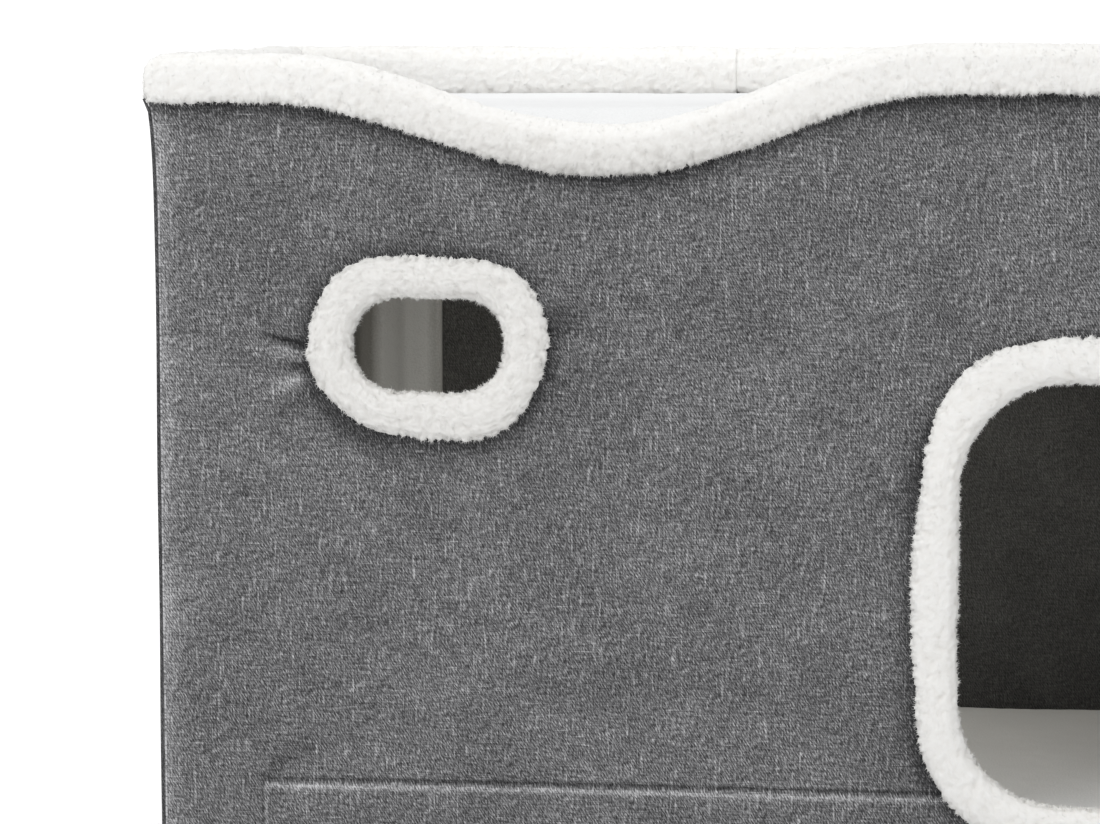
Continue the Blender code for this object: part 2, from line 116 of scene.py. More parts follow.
# %% Helpers for shader nodes
def feed(tree, sockets, *feeds):
    """Gives each (socket, value) pair's socket its value, or the output that drives it."""
    for socket, value in feeds:
        if isinstance(value, bpy.types.NodeSocket):
            tree.links.new(value, sockets[socket])
        else:
            sockets[socket].default_value = value


def node(tree, kind, *feeds, **settings):
    """The outputs of a new shader node."""
    made = tree.nodes.new("ShaderNode" + kind)
    for setting, value in settings.items():
        setattr(made, setting, value)
    feed(tree, made.inputs, *feeds)
    return made.outputs


def maths(tree, operation, *values):
    """The result of a Math node."""
    return node(tree, "Math", *enumerate(values), operation=operation)[0]


def times_plus(tree, value, factor, added):
    return maths(tree, "MULTIPLY_ADD", value, factor, added)


def seen_rays(tree):
    """1 for a ray from the camera, a mirror or glass, and 0 for one that brings light."""
    rays = node(tree, "LightPath")
    seen = maths(tree, "MAXIMUM", rays["Is Camera Ray"], rays["Is Glossy Ray"])
    return maths(tree, "MAXIMUM", seen, rays["Is Transmission Ray"])


def principled(name, **constants):
    """A new material, its node tree and its Principled shader's sockets, with constant values on them."""
    made = bpy.data.materials.new(name)
    made.use_nodes = True
    sockets = made.node_tree.nodes["Principled BSDF"].inputs
    feed(made.node_tree, sockets, *((title.replace("_", " "), value) for title, value in constants.items()))
    return made, made.node_tree, sockets


# %% World and lamps
WHITE = (1, 1, 1, 1)
WORLD_LIGHT, WORLD_SEEN = 0.87, 1.15
# Each lamp's power in watts, size, place, the point it is aimed at, colour, and spread in degrees
LAMPS = {
    "soft_lamp": (7.4, (0.7, 0.7), (-0.9, -1.2, 1.75), (-0.25, -0.2, 0.25), (1, 1, 1), 180),
    "den_lamp": (0.33, (0.3, 0.3), (-0.2, -0.02, 0.35), (-0.2, 0.03, 0.0), (1.0, 0.985, 0.91), 180),
    "well_lamp": (0.07, (0.9, 0.06), (0.0, -0.17, 0.52), (0.0, 0.188, 0.450), (1, 1, 1), 50),
}

world = bpy.data.worlds.new("studio")
world.use_nodes = True
scene.world = world
tree = world.node_tree
strength = times_plus(tree, seen_rays(tree), WORLD_SEEN - WORLD_LIGHT, WORLD_LIGHT)
feed(tree, tree.nodes["Background"].inputs, ("Color", WHITE), ("Strength", strength))
for name, (power, size, place, aim, colour, spread) in LAMPS.items():
    lamp = add_object(name, bpy.data.lights.new(name, "AREA"))
    lamp.data.shape = "RECTANGLE"
    lamp.data.size, lamp.data.size_y = size
    lamp.data.energy, lamp.data.color, lamp.data.spread = power, colour, math.radians(spread)
    lamp.location = place
    lamp.rotation_euler = (Vector(aim) - Vector(place)).to_track_quat("-Z", "Y").to_euler()
    lamp.visible_camera = False
scene.view_settings.view_transform = "Standard"
print("world", WORLD_LIGHT, "lamps", {name: values[0] for name, values in LAMPS.items()}, "W")

# %% Floor
FLOOR_REACH, FLOOR_COLOUR, FLOOR_LIFT = 6.0, (0.86, 0.86, 0.86, 1), 0.40

bpy.ops.mesh.primitive_plane_add(size=2 * FLOOR_REACH)
floor = bpy.context.object
floor.name = "studio_floor"
paper, tree, sockets = principled(
    "studio_paper", Base_Color=FLOOR_COLOUR, Roughness=1.0, Specular_IOR_Level=0.0, Emission_Color=WHITE
)
feed(tree, sockets, ("Emission Strength", maths(tree, "MULTIPLY", seen_rays(tree), FLOOR_LIFT)))
floor.data.materials.append(paper)
print("floor of", 2 * FLOOR_REACH, "m")

# %% [markdown]
# ## Heather cloth
# The covers are woven from yarns of light and dark grey fibres, so up close the cloth is a field of
# short strokes: upright warp yarns, level weft yarns, the slanting ribs of the twill, and now and then
# a thick pale slub. An image could show this, but a node group stays sharp at any distance and takes
# its size in metres. It is built once, and each cloth gets its own colours and contrast. The third
# power makes few bright yarns on a dark ground, as pale fibres spun into grey do. Painted light
# raises the level for a painted highlight and lowers it for painted shade.

# %% More node helpers
def blend(tree, share, first, second):
    """The first colour where share is 0, and the second where it is 1."""
    return node(tree, "Mix", (0, share), (6, first), (7, second), data_type="RGBA")[2]


def ranged(tree, value, low, high, to_low=0.0, to_high=1.0):
    """A value stretched from one range to another, and held at its ends."""
    ends = (("From Min", low), ("From Max", high), ("To Min", to_low), ("To Max", to_high))
    return node(tree, "MapRange", ("Value", value), *ends)[0]


def grains(tree, place, scale, detail, distortion=0.0):
    """Noise between 0 and 1."""
    feeds = (("Vector", place), ("Scale", scale), ("Detail", detail), ("Distortion", distortion))
    return node(tree, "TexNoise", *feeds)["Fac"]


def object_place(tree):
    return node(tree, "TexCoord")["Object"]


def stored(tree, title):
    """A number that the mesh keeps at its points."""
    return node(tree, "Attribute", attribute_name=title)["Fac"]


def new_group(name, inputs, outputs):
    """An empty shader node group with named sockets: its tree, what it is given and what it puts out."""
    tree = bpy.data.node_groups.new(name, "ShaderNodeTree")
    for title, kind, value in inputs:
        socket = tree.interface.new_socket(title, in_out="INPUT", socket_type="NodeSocket" + kind)
        if value is not None:
            socket.default_value = value
    for title, kind in outputs:
        tree.interface.new_socket(title, in_out="OUTPUT", socket_type="NodeSocket" + kind)
    return tree, tree.nodes.new("NodeGroupInput").outputs, tree.nodes.new("NodeGroupOutput").inputs


def use_group(tree, name, *feeds):
    """The outputs of a node group that is placed in a material's tree."""
    return node(tree, "Group", *feeds, node_tree=bpy.data.node_groups[name])


def finish(tree, sockets, colour, height, distance, *others):
    """Colours a shader and bumps its normal by a height, which is so many metres deep."""
    normal = node(tree, "Bump", ("Height", height), ("Distance", distance))["Normal"]
    feed(tree, sockets, ("Base Color", colour), ("Normal", normal), *others)


# %% The weave group
# Yarns, slubs and broad patches per metre, across and up
WARP, WEFT, TWILL = (1900, 120), (130, 1600), (1900, 460)
SLUB, WEFT_SLUB, BROAD = (950, 75), (70, 950), (26, 26)
TWILL_LEAN = math.radians(-33)
TWILL_ACROSS, TWILL_UP = 2 * math.pi / (1.6 * MM), 2 * math.pi / (2.7 * MM)
WEFT_SHARE, RIB_SHARE, WAVE_SHARE, STROKE_MIDDLE = 0.7, 2.0, 0.14, 1.85
GROUND, SLUB_PALE, PATCH_PALE, PAINTED_LIGHT_SHARE, YARN_POWER = 0.58, 0.15, 0.19, 0.10, 3.0
SLUB_PROUD = 0.6


def stretched_noise(tree, plane, per_metre, shift, detail=1.0):
    """Noise whose grains are longer one way: per_metre counts them across and up."""
    scaled = node(tree, "VectorMath", (0, plane), (1, (*per_metre, 0)), operation="MULTIPLY")[0]
    moved = node(tree, "VectorMath", (0, scaled), (1, (0, 0, shift)), operation="ADD")[0]
    return grains(tree, moved, 1.0, detail)


tree, given, out = new_group(
    "heather_weave",
    [("Across", "Float", 0.0), ("Up", "Float", 0.0), ("Dark", "Color", (0.03, 0.03, 0.03, 1)),
     ("Light", "Color", (0.4, 0.4, 0.4, 1)), ("Contrast", "Float", 1.0), ("Slubs", "Float", 1.0),
     ("Rub", "Float", 0.0)],
    [("Color", "Color"), ("Height", "Float")],
)
plane = node(tree, "CombineXYZ", ("X", given["Across"]), ("Y", given["Up"]))[0]
leaning = node(tree, "VectorRotate", ("Vector", plane), ("Angle", TWILL_LEAN), rotation_type="Z_AXIS")[0]
phase = maths(tree, "MULTIPLY", given["Up"], TWILL_UP)
phase = times_plus(tree, given["Across"], TWILL_ACROSS, phase)
strokes = stretched_noise(tree, plane, WARP, 0.0)
for part, share in (
    (stretched_noise(tree, leaning, TWILL, 8.1), RIB_SHARE),
    (stretched_noise(tree, plane, WEFT, 3.7), WEFT_SHARE),
    (maths(tree, "SINE", phase), WAVE_SHARE),
):
    strokes = times_plus(tree, part, share, strokes)
strokes = maths(tree, "SUBTRACT", strokes, STROKE_MIDDLE)
pale = ranged(tree, stretched_noise(tree, plane, SLUB, 12.4, 0.0), 0.66, 0.78)
pale_weft = ranged(tree, stretched_noise(tree, plane, WEFT_SLUB, 17.9, 0.0), 0.70, 0.84)
slubs = maths(tree, "MULTIPLY", maths(tree, "MAXIMUM", pale, pale_weft), given["Slubs"])
patches = maths(tree, "SUBTRACT", stretched_noise(tree, plane, BROAD, 23.3, 4.0), 0.5)
level = times_plus(tree, strokes, given["Contrast"], GROUND)
# Painted light: the mesh's painted highlight raises the level and its painted shade lowers it
for part, share in ((slubs, SLUB_PALE), (patches, PATCH_PALE), (given["Rub"], PAINTED_LIGHT_SHARE)):
    level = times_plus(tree, part, share, level)
colour = blend(tree, maths(tree, "POWER", level, YARN_POWER), given["Dark"], given["Light"])
feed(tree, out, ("Color", colour), ("Height", times_plus(tree, slubs, SLUB_PROUD, strokes)))
print("heather_weave has", len(tree.nodes), "nodes")

# %% Cloth materials from the weave
def weave_into(tree, sockets, across, up, look, distance, *feeds):
    """Gives a material the weave. look is its dark and light yarns, contrast and slubs."""
    titles = ("Across", "Up", "Dark", "Light", "Contrast", "Slubs")
    weave = use_group(tree, "heather_weave", *zip(titles, (across, up, *look)), *feeds)
    finish(tree, sockets, weave["Color"], weave["Height"], distance)


def woven(name, axes, look):
    """A cloth whose yarns run along two of the object's axes."""
    made, tree, sockets = principled(name, Roughness=0.92, Sheen_Weight=0.12, Specular_IOR_Level=0.15)
    place = node(tree, "SeparateXYZ", (0, object_place(tree)))
    weave_into(tree, sockets, place[axes[0]], place[axes[1]], look, 0.25 * MM, ("Rub", stored(tree, "painted_light")))
    return made


COVER_LOOK = ((0.02, 0.02, 0.021, 1), (0.665, 0.665, 0.68, 1), 0.51, 1.0)
# The lining is the cover's grey cloth made darker and flatter: partly painted shade for the den
SHADED_LINING_LOOK = ((0.02, 0.02, 0.02, 1), (0.50, 0.50, 0.49, 1), 0.26, 0.3)
COVER_CLOTH = woven("cover_cloth", "XZ", COVER_LOOK)
SIDE_COVER_CLOTH = woven("side_cover_cloth", "YZ", COVER_LOOK)
LINING_CLOTH = woven("lining_cloth", "XZ", SHADED_LINING_LOOK)
SIDE_LINING_CLOTH = woven("side_lining_cloth", "YZ", SHADED_LINING_LOOK)
FLOOR_LINING_CLOTH = woven("floor_lining_cloth", "XY", SHADED_LINING_LOOK)
print("cloths:", COVER_CLOTH.name, LINING_CLOTH.name)

# %% [markdown]
# ## The openings' outlines and the scooped edge
# The front has three holes and a rim that dips twice. One distance function says how far a point lies
# from a hole's rounded outline: it cuts the hole, pulls the cut edge smooth and shapes the dent round
# the trim. The scoops are cosine curves.

# %% Outlines
RING_BAND, RING_INNER_BAND = 24 * MM, 15 * MM
SCOOP_X, OUTER_REACH, INNER_REACH = 269 * MM, 176 * MM, 166 * MM


def off_outline(across, up, outline):
    """Distance from a rounded rectangle (middle, size, radius), negative inside it."""
    (mid_x, mid_z), (width, height), radius = outline
    out_x = np.abs(across - mid_x) - (width / 2 - radius)
    out_z = np.abs(up - mid_z) - (height / 2 - radius)
    corner = np.hypot(np.maximum(out_x, 0), np.maximum(out_z, 0))
    return corner + np.minimum(np.maximum(out_x, out_z), 0) - radius


def ring_outline(ring, radius):
    """The clear outline inside a sherpa ring, from the ring's own box."""
    low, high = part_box(ring)
    size = (high.x - low.x - 2 * RING_BAND, high.z - low.z - 2 * RING_BAND)
    return (middle(ring, 0), middle(ring, 2)), size, radius


def grown(outline, grow):
    mid, (width, height), radius = outline
    return mid, (width + 2 * grow, height + 2 * grow), radius + grow


def front_rim(x):
    """Height of the front rim's top: shoulders, two scoops and a crest."""
    past = np.abs(x) - SCOOP_X
    level = np.where(past > 0, SHOULDER, CREST)
    share = np.minimum(np.abs(past) / np.where(past > 0, OUTER_REACH, INNER_REACH), 1)
    return SCOOP_LOW + (level - SCOOP_LOW) * (1 - np.cos(np.pi * share)) / 2


ENTRANCE = ring_outline("entrance_ring", 54 * MM)
LEFT_WINDOW = ring_outline("left_window_ring", 23 * MM)
RIGHT_WINDOW = ring_outline("right_window_ring", 23 * MM)
OPENINGS = (ENTRANCE, LEFT_WINDOW, RIGHT_WINDOW)
for outline in OPENINGS:
    print("opening", [round(value / MM) for value in (*outline[0], *outline[1])], "mm")

# %% [markdown]
# ## Stretched cloth panels
# A cover is one panel of cloth over thin foam. A flat plane with a bump map would be too flat: the real
# one rounds off at the seams, dimples beside the trim and shows the stiffener's edge. So each panel is
# a grid whose points are moved by a relief formula, with closer lines where something small happens.

# %% Grid lines and panels
TINY = 0.01 * MM
FLAT_SHARE = 0.84


def grid_lines(low, high, step, finer=()):
    """Places from low to high, about step apart, and closer round each (place, reach, fine step)."""
    spots = np.linspace(low, high, 6000)
    density = np.full(spots.shape, 1 / (step * COARSER))
    for place, reach, fine_step in finer:
        more = 1 / (fine_step * COARSER) - 1 / (step * COARSER)
        density += more * np.exp(-(((spots - place) / reach) ** 2))
    steps = (density[1:] + density[:-1]) / 2 * np.diff(spots)
    total = np.concatenate(([0], np.cumsum(steps)))
    return np.interp(np.linspace(0, total[-1], int(round(total[-1])) + 1), total, spots)


def both_sides(place, reach, fine_step):
    """Finer grid lines at a place and at its mirror image."""
    return [(side * place, reach, fine_step) for side in (-1, 1)]


def mesh_object(name, points, quads, triangles=()):
    """A smooth-shaded mesh object from arrays of points, four-sided and three-sided faces."""
    mesh = bpy.data.meshes.new(name)
    quads, triangles = np.asarray(quads, int).reshape(-1, 4), np.asarray(triangles, int).reshape(-1, 3)
    corners = np.concatenate((quads.ravel(), triangles.ravel()))
    sizes = np.concatenate((np.full(len(quads), 4), np.full(len(triangles), 3)))
    mesh.vertices.add(len(points))
    mesh.vertices.foreach_set("co", np.asarray(points, np.float32).ravel())
    mesh.loops.add(len(corners))
    mesh.loops.foreach_set("vertex_index", corners.astype(np.int32))
    mesh.polygons.add(len(sizes))
    mesh.polygons.foreach_set("loop_start", (np.cumsum(sizes) - sizes).astype(np.int32))
    mesh.update(calc_edges=True)
    mesh.shade_smooth()
    return add_object(name, mesh)


def give_value(made, title, values):
    """Stores a number for each point of a mesh, which a material reads with an Attribute node."""
    kept = made.data.attributes.new(title, "FLOAT", "POINT")
    kept.data.foreach_set("value", np.broadcast_to(values, len(made.data.vertices)).astype(np.float32))


def grid_quads(rows, columns, rows_close=False, columns_close=False):
    """Faces of a grid of points that are stored row by row. It can close onto itself both ways."""
    row = np.arange(rows if rows_close else rows - 1)[:, None]
    column = np.arange(columns if columns_close else columns - 1)[None, :]
    below, above = row * columns, (row + 1) % rows * columns
    right = (column + 1) % columns
    return np.stack((below + column, below + right, above + right, above + column), axis=-1).reshape(-1, 4)


def cut_hole(across, up, quads, outline):
    """Drops the faces inside an outline, and pulls the cut edge onto it."""
    inside = off_outline(across[quads].mean(axis=1), up[quads].mean(axis=1), outline) < 0
    edge = np.intersect1d(quads[inside], quads[~inside])
    distance = off_outline(across[edge], up[edge], outline)
    slope_x = (off_outline(across[edge] + TINY, up[edge], outline) - distance) / TINY
    slope_z = (off_outline(across[edge], up[edge] + TINY, outline) - distance) / TINY
    across[edge] -= distance * slope_x
    up[edge] -= distance * slope_z
    return quads[~inside]


def panel(name, across_lines, up_lines, relief, place, thickness, cloth, holes=(), top=None):
    """A closed sheet of cloth. place turns (across, up, proud) into a point of the house.

    relief gives how proud the cloth stands, and how much light is painted into it there: above 0 a painted
    highlight, below 0 painted shade.
    """
    across, up = (grid.ravel().copy() for grid in np.meshgrid(across_lines, up_lines))
    if top is not None:
        low, high = up_lines[0], up_lines[-1]
        flat_part = low + FLAT_SHARE * (high - low)
        up += np.clip((up - flat_part) / (high - flat_part), 0, 1) * (top(across) - high)
    quads = grid_quads(len(up_lines), len(across_lines))
    for outline in holes:
        quads = cut_hole(across, up, quads, outline)
    used, quads = np.unique(quads, return_inverse=True)
    across, up = across[used], up[used]
    proud, painted_light = relief(across, up)
    made = mesh_object(name, np.column_stack(place(across, up, proud)), quads.reshape(-1, 4))
    give_value(made, "painted_light", painted_light)
    shell = made.modifiers.new("cloth", "SOLIDIFY")
    shell.thickness, shell.offset = thickness, -1.0
    made.data.materials.append(cloth)
    return made


def count_faces(title, pieces):
    print(title, {name: len(made.data.polygons) for name, made in pieces.items()})


# %% [markdown]
# Which way a panel faces decides which side of it Solidify fills. So one function makes the placing
# for every wall, for a panel that faces out or in, and keeps the panel's good side on the right side.

# %% Where each wall's pieces go
FLARE, FLARE_REACH, FLARE_CORNER = 3.6 * MM, 22 * MM, 15 * MM
WAIST, WAIST_REACH = 1.8 * MM, 300 * MM
WAVES = 7
# How far each wall lies from the middle: its cover's outer side, and the middle of its board
OUTSIDE = {"front": -FRONT, "back": BACK, "left": SIDE, "right": SIDE}
BOARD_EDGE = {"front": BOARD_Y, "back": BOARD_Y, "left": BOARD_X, "right": BOARD_X}


def flare(up):
    """How far the covers stand out: pushed by the sherpa under their hem, drawn in below it."""
    below = np.maximum(HEM - up, 0)
    return FLARE * np.exp(-below / FLARE_REACH) - WAIST * np.exp(-below / WAIST_REACH)


def on_wall(wall, reach, outwards=1, flared=False):
    """A placing for a piece on a wall that is reach from the middle. outwards is -1 if it faces in."""
    side = 1 if wall in ("back", "right") else -1

    def along_x(across, up, proud):
        if flared:
            corner = np.exp(-(SIDE - np.abs(across)) / FLARE_CORNER)
            across = across + np.sign(across) * flare(up) * corner
        return -side * outwards * across, side * (reach + outwards * proud), up

    def along_y(across, up, proud):
        base = reach + flare(up) if flared else reach
        return side * (base + outwards * proud), side * outwards * across, up

    return along_x if wall in ("front", "back") else along_y


def waves(across, up, size, seed):
    """A gentle unevenness between -1 and 1: crossed sine waves, 0.7 to 1.4 times as long as size."""
    random = np.random.default_rng(seed)
    total = np.zeros(np.shape(across))
    for turn, phase, stretch in zip(*random.uniform(0, 1, (3, WAVES))):
        along = across * math.cos(math.tau * turn) + up * math.sin(math.tau * turn)
        total += np.sin(along * math.tau / (size * (0.7 + 0.7 * stretch)) + math.tau * phase)
    return total / WAVES


# %% [markdown]
# ## The front cover
# Three things mark the front. The padding makes its outer edges round off. The plastic strip in the
# pocket at its foot shows as a ledge, with a valley over it where the cloth is caught. And where the
# sherpa pulls on the cloth, there are a few short puckers, each a soft valley along a short line. Light
# is painted into the cloth's colour as well: a painted highlight along the upright edges, on the ledge's
# lip and beside the puckers, and painted shade in the groove and the puckers' valleys, under the sherpa
# and under the rings.

# %% Relief of the front
# How far and how deep the cloth rounds off at an upright edge, then how far its painted highlight reaches and
# how strong it is
EDGE_ROUND, EDGE_DROP, EDGE_HIGHLIGHT_REACH, EDGE_HIGHLIGHT = 10 * MM, 1.2 * MM, 5.5 * MM, 3.0
# Painted shade under the sherpa: how strong and how far it reaches; then how far the rings' painted shadow is
# moved down, and its share
PAINTED_TRIM_SHADE, SHADE_REACH, PAINTED_SHADOW_DROP, RING_PAINTED_SHADOW = 2.6, 5 * MM, 3 * MM, 0.8
TRIM_DENT, DENT_REACH = 0.8 * MM, 7 * MM
FRONT_WAVES = ((0.5 * MM, 210 * MM, 3), (0.22 * MM, 60 * MM, 4))
STRIP_END, STRIP_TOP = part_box("kick_strip")[1].x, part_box("kick_strip")[1].z
LEDGE_PROUD, LEDGE_SOFT, STRIP_FADE = 0.7 * MM, 0.8 * MM, 2.0 * MM
STRIP_SWAY, STRIP_SWAY_SIZE = 0.5 * MM, 70 * MM
# The lip and the groove at the stiffener's edge, in millimetres: how far past the edge, how wide and how
# proud, and then the painted light on it: above 0 a painted highlight on the lip, below 0 painted shade in
# the groove
TOP_MARKS = ((-1.9, 1.6, 0.5, 2.2), (1.5, 1.1, -1.1, -1.4))
END_MARKS = ((-0.8, 0.9, 0.25, 1.1), (1.0, 0.8, -0.44, -1.2))
# Puckers of the left half in millimetres: place (x, z), its angle, half length, half width and depth, which
# also sets the painted shade in its valley
PUCKERS = (
    (-431, 315, -13, 13, 1.7, 3.5), (-423, 301, -10, 8, 2.6, 2.1), (-431, 294, 32, 11, 3.2, -2.0),
    (-302, 334, 50, 12, 4.5, -1.3), (-420, 343, -48, 9, 2.6, 0.7), (-291, 321, 16, 9, 2.2, 0.7),
    (-295, 297, -24, 8, 2.4, 0.5), (-406, 262, 62, 10, 3.0, 0.5), (-330, 255, -82, 10, 3.2, 0.5),
    (-437, 96, 40, 14, 4.4, 1.1),
)
# The last is the painted highlight beside a pucker's valley
PUCKER_DEPTH, SWELL_BESIDE, HIGHLIGHT_BESIDE = 0.7 * MM, 0.4, 0.5


def bump_at(distance, width):
    """1 on a line, and nothing a few widths away from it."""
    return np.exp(-((distance / width) ** 2))


def near(distance, reach):
    """1 at no distance, and evenly less until it is 0 at the reach."""
    return np.clip(1 - distance / reach, 0, 1)


def step_down(distance, width):
    """1 well below a line, 0 well above it, and a soft step between."""
    return 0.5 - 0.5 * np.tanh(distance / width)


def edge_relief(across, half_width):
    """The cloth rounds off at an upright seam, with a painted highlight along the edge."""
    from_edge = half_width - np.abs(across)
    return -EDGE_DROP * near(from_edge, EDGE_ROUND) ** 2, EDGE_HIGHLIGHT * np.exp(-from_edge / EDGE_HIGHLIGHT_REACH)


def painted_trim_shade(below):
    """Painted shade on the cloth close under the sherpa, where little light gets."""
    return PAINTED_TRIM_SHADE * np.exp(-np.maximum(below, 0) / SHADE_REACH)


def strip_relief(across, up):
    """The stiffener's top and ends, as the cloth shows them: a groove with painted shade, and a lip beside it
    with a painted highlight.
    """
    over = up - STRIP_TOP - STRIP_SWAY * np.sin(across / STRIP_SWAY_SIZE)
    past = np.abs(across) - STRIP_END
    along_top, along_end = step_down(past, STRIP_FADE), step_down(over, STRIP_FADE)
    proud, painted_light = LEDGE_PROUD * step_down(over, LEDGE_SOFT) * along_top, 0.0
    for distance, along, marks in ((over, along_top, TOP_MARKS), (past, along_end, END_MARKS)):
        for place, width, height, mark_painted_light in marks:
            mark = bump_at(distance - place * MM, width * MM) * along
            proud, painted_light = proud + height * MM * mark, painted_light + mark_painted_light * mark
    return proud, painted_light


def pucker_relief(across, up):
    """Short soft valleys, the same in both halves, with painted shade in each valley and a painted highlight
    beside it.
    """
    proud, painted_light = np.zeros(np.shape(across)), np.zeros(np.shape(across))
    for x, z, angle, half_length, half_width, depth in PUCKERS:
        turn, width = math.radians(angle), half_width * MM
        from_x, from_z = -np.abs(across) - x * MM, up - z * MM
        fade = bump_at(from_x * math.cos(turn) + from_z * math.sin(turn), half_length * MM)
        away = from_z * math.cos(turn) - from_x * math.sin(turn)
        valley = bump_at(away, width)
        proud += PUCKER_DEPTH * depth * fade * (SWELL_BESIDE * bump_at(away + 2 * width, width) - valley)
        painted_light += depth * fade * (HIGHLIGHT_BESIDE * bump_at(away + 3.2 * width, 1.8 * width) - valley)
    return proud, painted_light


def front_relief(across, up):
    proud, painted_light = edge_relief(across, SIDE)
    for height, size, seed in FRONT_WAVES:
        proud += height * waves(across, up, size, seed)
    # Painted shade under the rim's sherpa
    painted_light = painted_light - painted_trim_shade(front_rim(across) - SHOULDER + HEM - up)
    for outline in OPENINGS:
        trim = grown(outline, RING_BAND)
        proud -= TRIM_DENT * np.exp(-np.maximum(off_outline(across, up, trim), 0) / DENT_REACH)
        # Painted shadow under each ring: its outline is moved down, so the shade lies mostly below it
        painted_light -= RING_PAINTED_SHADOW * painted_trim_shade(off_outline(across, up + PAINTED_SHADOW_DROP, trim))
    for extra_proud, extra_painted_light in (strip_relief(across, up), pucker_relief(across, up)):
        proud, painted_light = proud + extra_proud, painted_light + extra_painted_light
    return proud, painted_light


# %% The front cover's panel
TUCK, HOLE_TUCK = 3.2 * MM, 7.5 * MM
CLOTH, SEAM = 1.0 * MM, 0.15 * MM
FRONT_STEP, PLAIN_STEP = 4.4 * MM, 4.6 * MM


def cover(wall, step, fine_across, fine_up, relief, cloth, **cuts):
    """A wall's outer cloth, from seam to seam and from the floor to under the rim."""
    half_width = (SIDE if wall in ("front", "back") else BACK) - SEAM
    across_lines = grid_lines(-half_width, half_width, step, fine_across)
    up_lines = grid_lines(BASE, HEM + TUCK, step, fine_up)
    place = on_wall(wall, OUTSIDE[wall], flared=True)
    return panel(wall + "_cover_cloth", across_lines, up_lines, relief, place, CLOTH, cloth, **cuts)


fine_across = both_sides(STRIP_END, 4 * MM, 0.6 * MM) + both_sides(STRIP_END - 8 * MM, 12 * MM, 2.0 * MM)
fine_across += both_sides(SIDE, 10 * MM, 1.5 * MM)
fine_across += [(window[0][0], 80 * MM, 2.2 * MM) for window in (LEFT_WINDOW, RIGHT_WINDOW)]
fine_up = [(STRIP_TOP, 5 * MM, 0.5 * MM), (STRIP_TOP + 10 * MM, 12 * MM, 1.6 * MM)]
fine_up += [(LEFT_WINDOW[0][1], 60 * MM, 1.6 * MM)]
cuts = {
    "holes": [grown(outline, RING_BAND - HOLE_TUCK) for outline in OPENINGS],
    "top": lambda across: front_rim(across) - SHOULDER + HEM + TUCK,
}
front_cover = cover("front", FRONT_STEP, fine_across, fine_up, front_relief, COVER_CLOTH, **cuts)
COVERS = {"front_cover": front_cover}
print("front cover:", len(front_cover.data.polygons), "faces")

# %% [markdown]
# The other covers lie over plain boards, so only the edges and a slight unevenness are left of the
# relief. Each has a seed of its own, so that no two look alike.

# %% The other covers
PLAIN_WAVE, PLAIN_WAVE_SIZE = 0.55 * MM, 190 * MM


def plain_relief(half_width, seed):
    def relief(across, up):
        proud, painted_light = edge_relief(across, half_width)
        # Painted shade under the rim's sherpa
        return proud + PLAIN_WAVE * waves(across, up, PLAIN_WAVE_SIZE, seed), painted_light - painted_trim_shade(HEM - up)

    return relief


for wall, half_width, cloth, seed in (
    ("back", SIDE, COVER_CLOTH, 11),
    ("left", BACK, SIDE_COVER_CLOTH, 12),
    ("right", BACK, SIDE_COVER_CLOTH, 13),
):
    seams = both_sides(half_width, 10 * MM, 2 * MM)
    relief = plain_relief(half_width, seed)
    COVERS[wall + "_cover"] = cover(wall, PLAIN_STEP, seams, (), relief, cloth)
count_faces("covers:", COVERS)

# %% [markdown]
# ## The lining
# Inside, a thin lining is glued to the boards. It is the same kind of panel, with less relief,
# turned so that its good side looks into the den. Its cloth is the cover's grey made darker and flatter,
# which paints part of the den's shade into its colour.

# %% Lining panels
LINING_THICK, LINING_WAVE, LINING_WAVE_SIZE, LINING_STEP = 0.7 * MM, 0.3 * MM, 120 * MM, 7 * MM
LINING_LOW, LINING_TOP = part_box("left_lining")[0].z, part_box("left_lining")[1].z
INSIDE_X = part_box("right_lining")[0].x
INSIDE_FRONT, INSIDE_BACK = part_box("front_lining")[1].y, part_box("back_lining")[0].y


def lining_relief(seed):
    return lambda across, up: (LINING_WAVE * (waves(across, up, LINING_WAVE_SIZE, seed) - 1), 0.0)


LININGS = {}
for wall, reach, cloth, seed in (
    ("front", -INSIDE_FRONT, LINING_CLOTH, 21),
    ("back", INSIDE_BACK, LINING_CLOTH, 22),
    ("left", INSIDE_X, SIDE_LINING_CLOTH, 23),
    ("right", INSIDE_X, SIDE_LINING_CLOTH, 24),
):
    low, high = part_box(wall + "_lining")
    half_width = max(high.x - low.x, high.y - low.y) / 2
    cuts = {}
    if wall == "front":
        cuts["holes"] = [grown(outline, RING_INNER_BAND - TUCK) for outline in OPENINGS]
        cuts["top"] = lambda across: front_rim(across) - SHOULDER + LINING_TOP + TUCK
    lines = (grid_lines(-half_width, half_width, LINING_STEP),
             grid_lines(LINING_LOW, LINING_TOP + TUCK, LINING_STEP))
    look = (lining_relief(seed), on_wall(wall, reach, outwards=-1), LINING_THICK, cloth)
    LININGS[wall + "_lining"] = panel(wall + "_lining_cloth", *lines, *look, **cuts)
count_faces("linings:", LININGS)

# %% [markdown]
# ## The floor's two cloths
# Under the floor board is a stiff non-woven cloth, pressed into a grid of tiny dots, which meets the
# ground. Over the board lies the same lining as on the walls. Both are panels that lie flat.

# %% Non-woven cloth and the floor panels
DOT, DOT_UNEVEN, DOT_EDGE = 2.2 * MM, 0.15, (0.2, 0.4)
FLOOR_STEP = 9 * MM

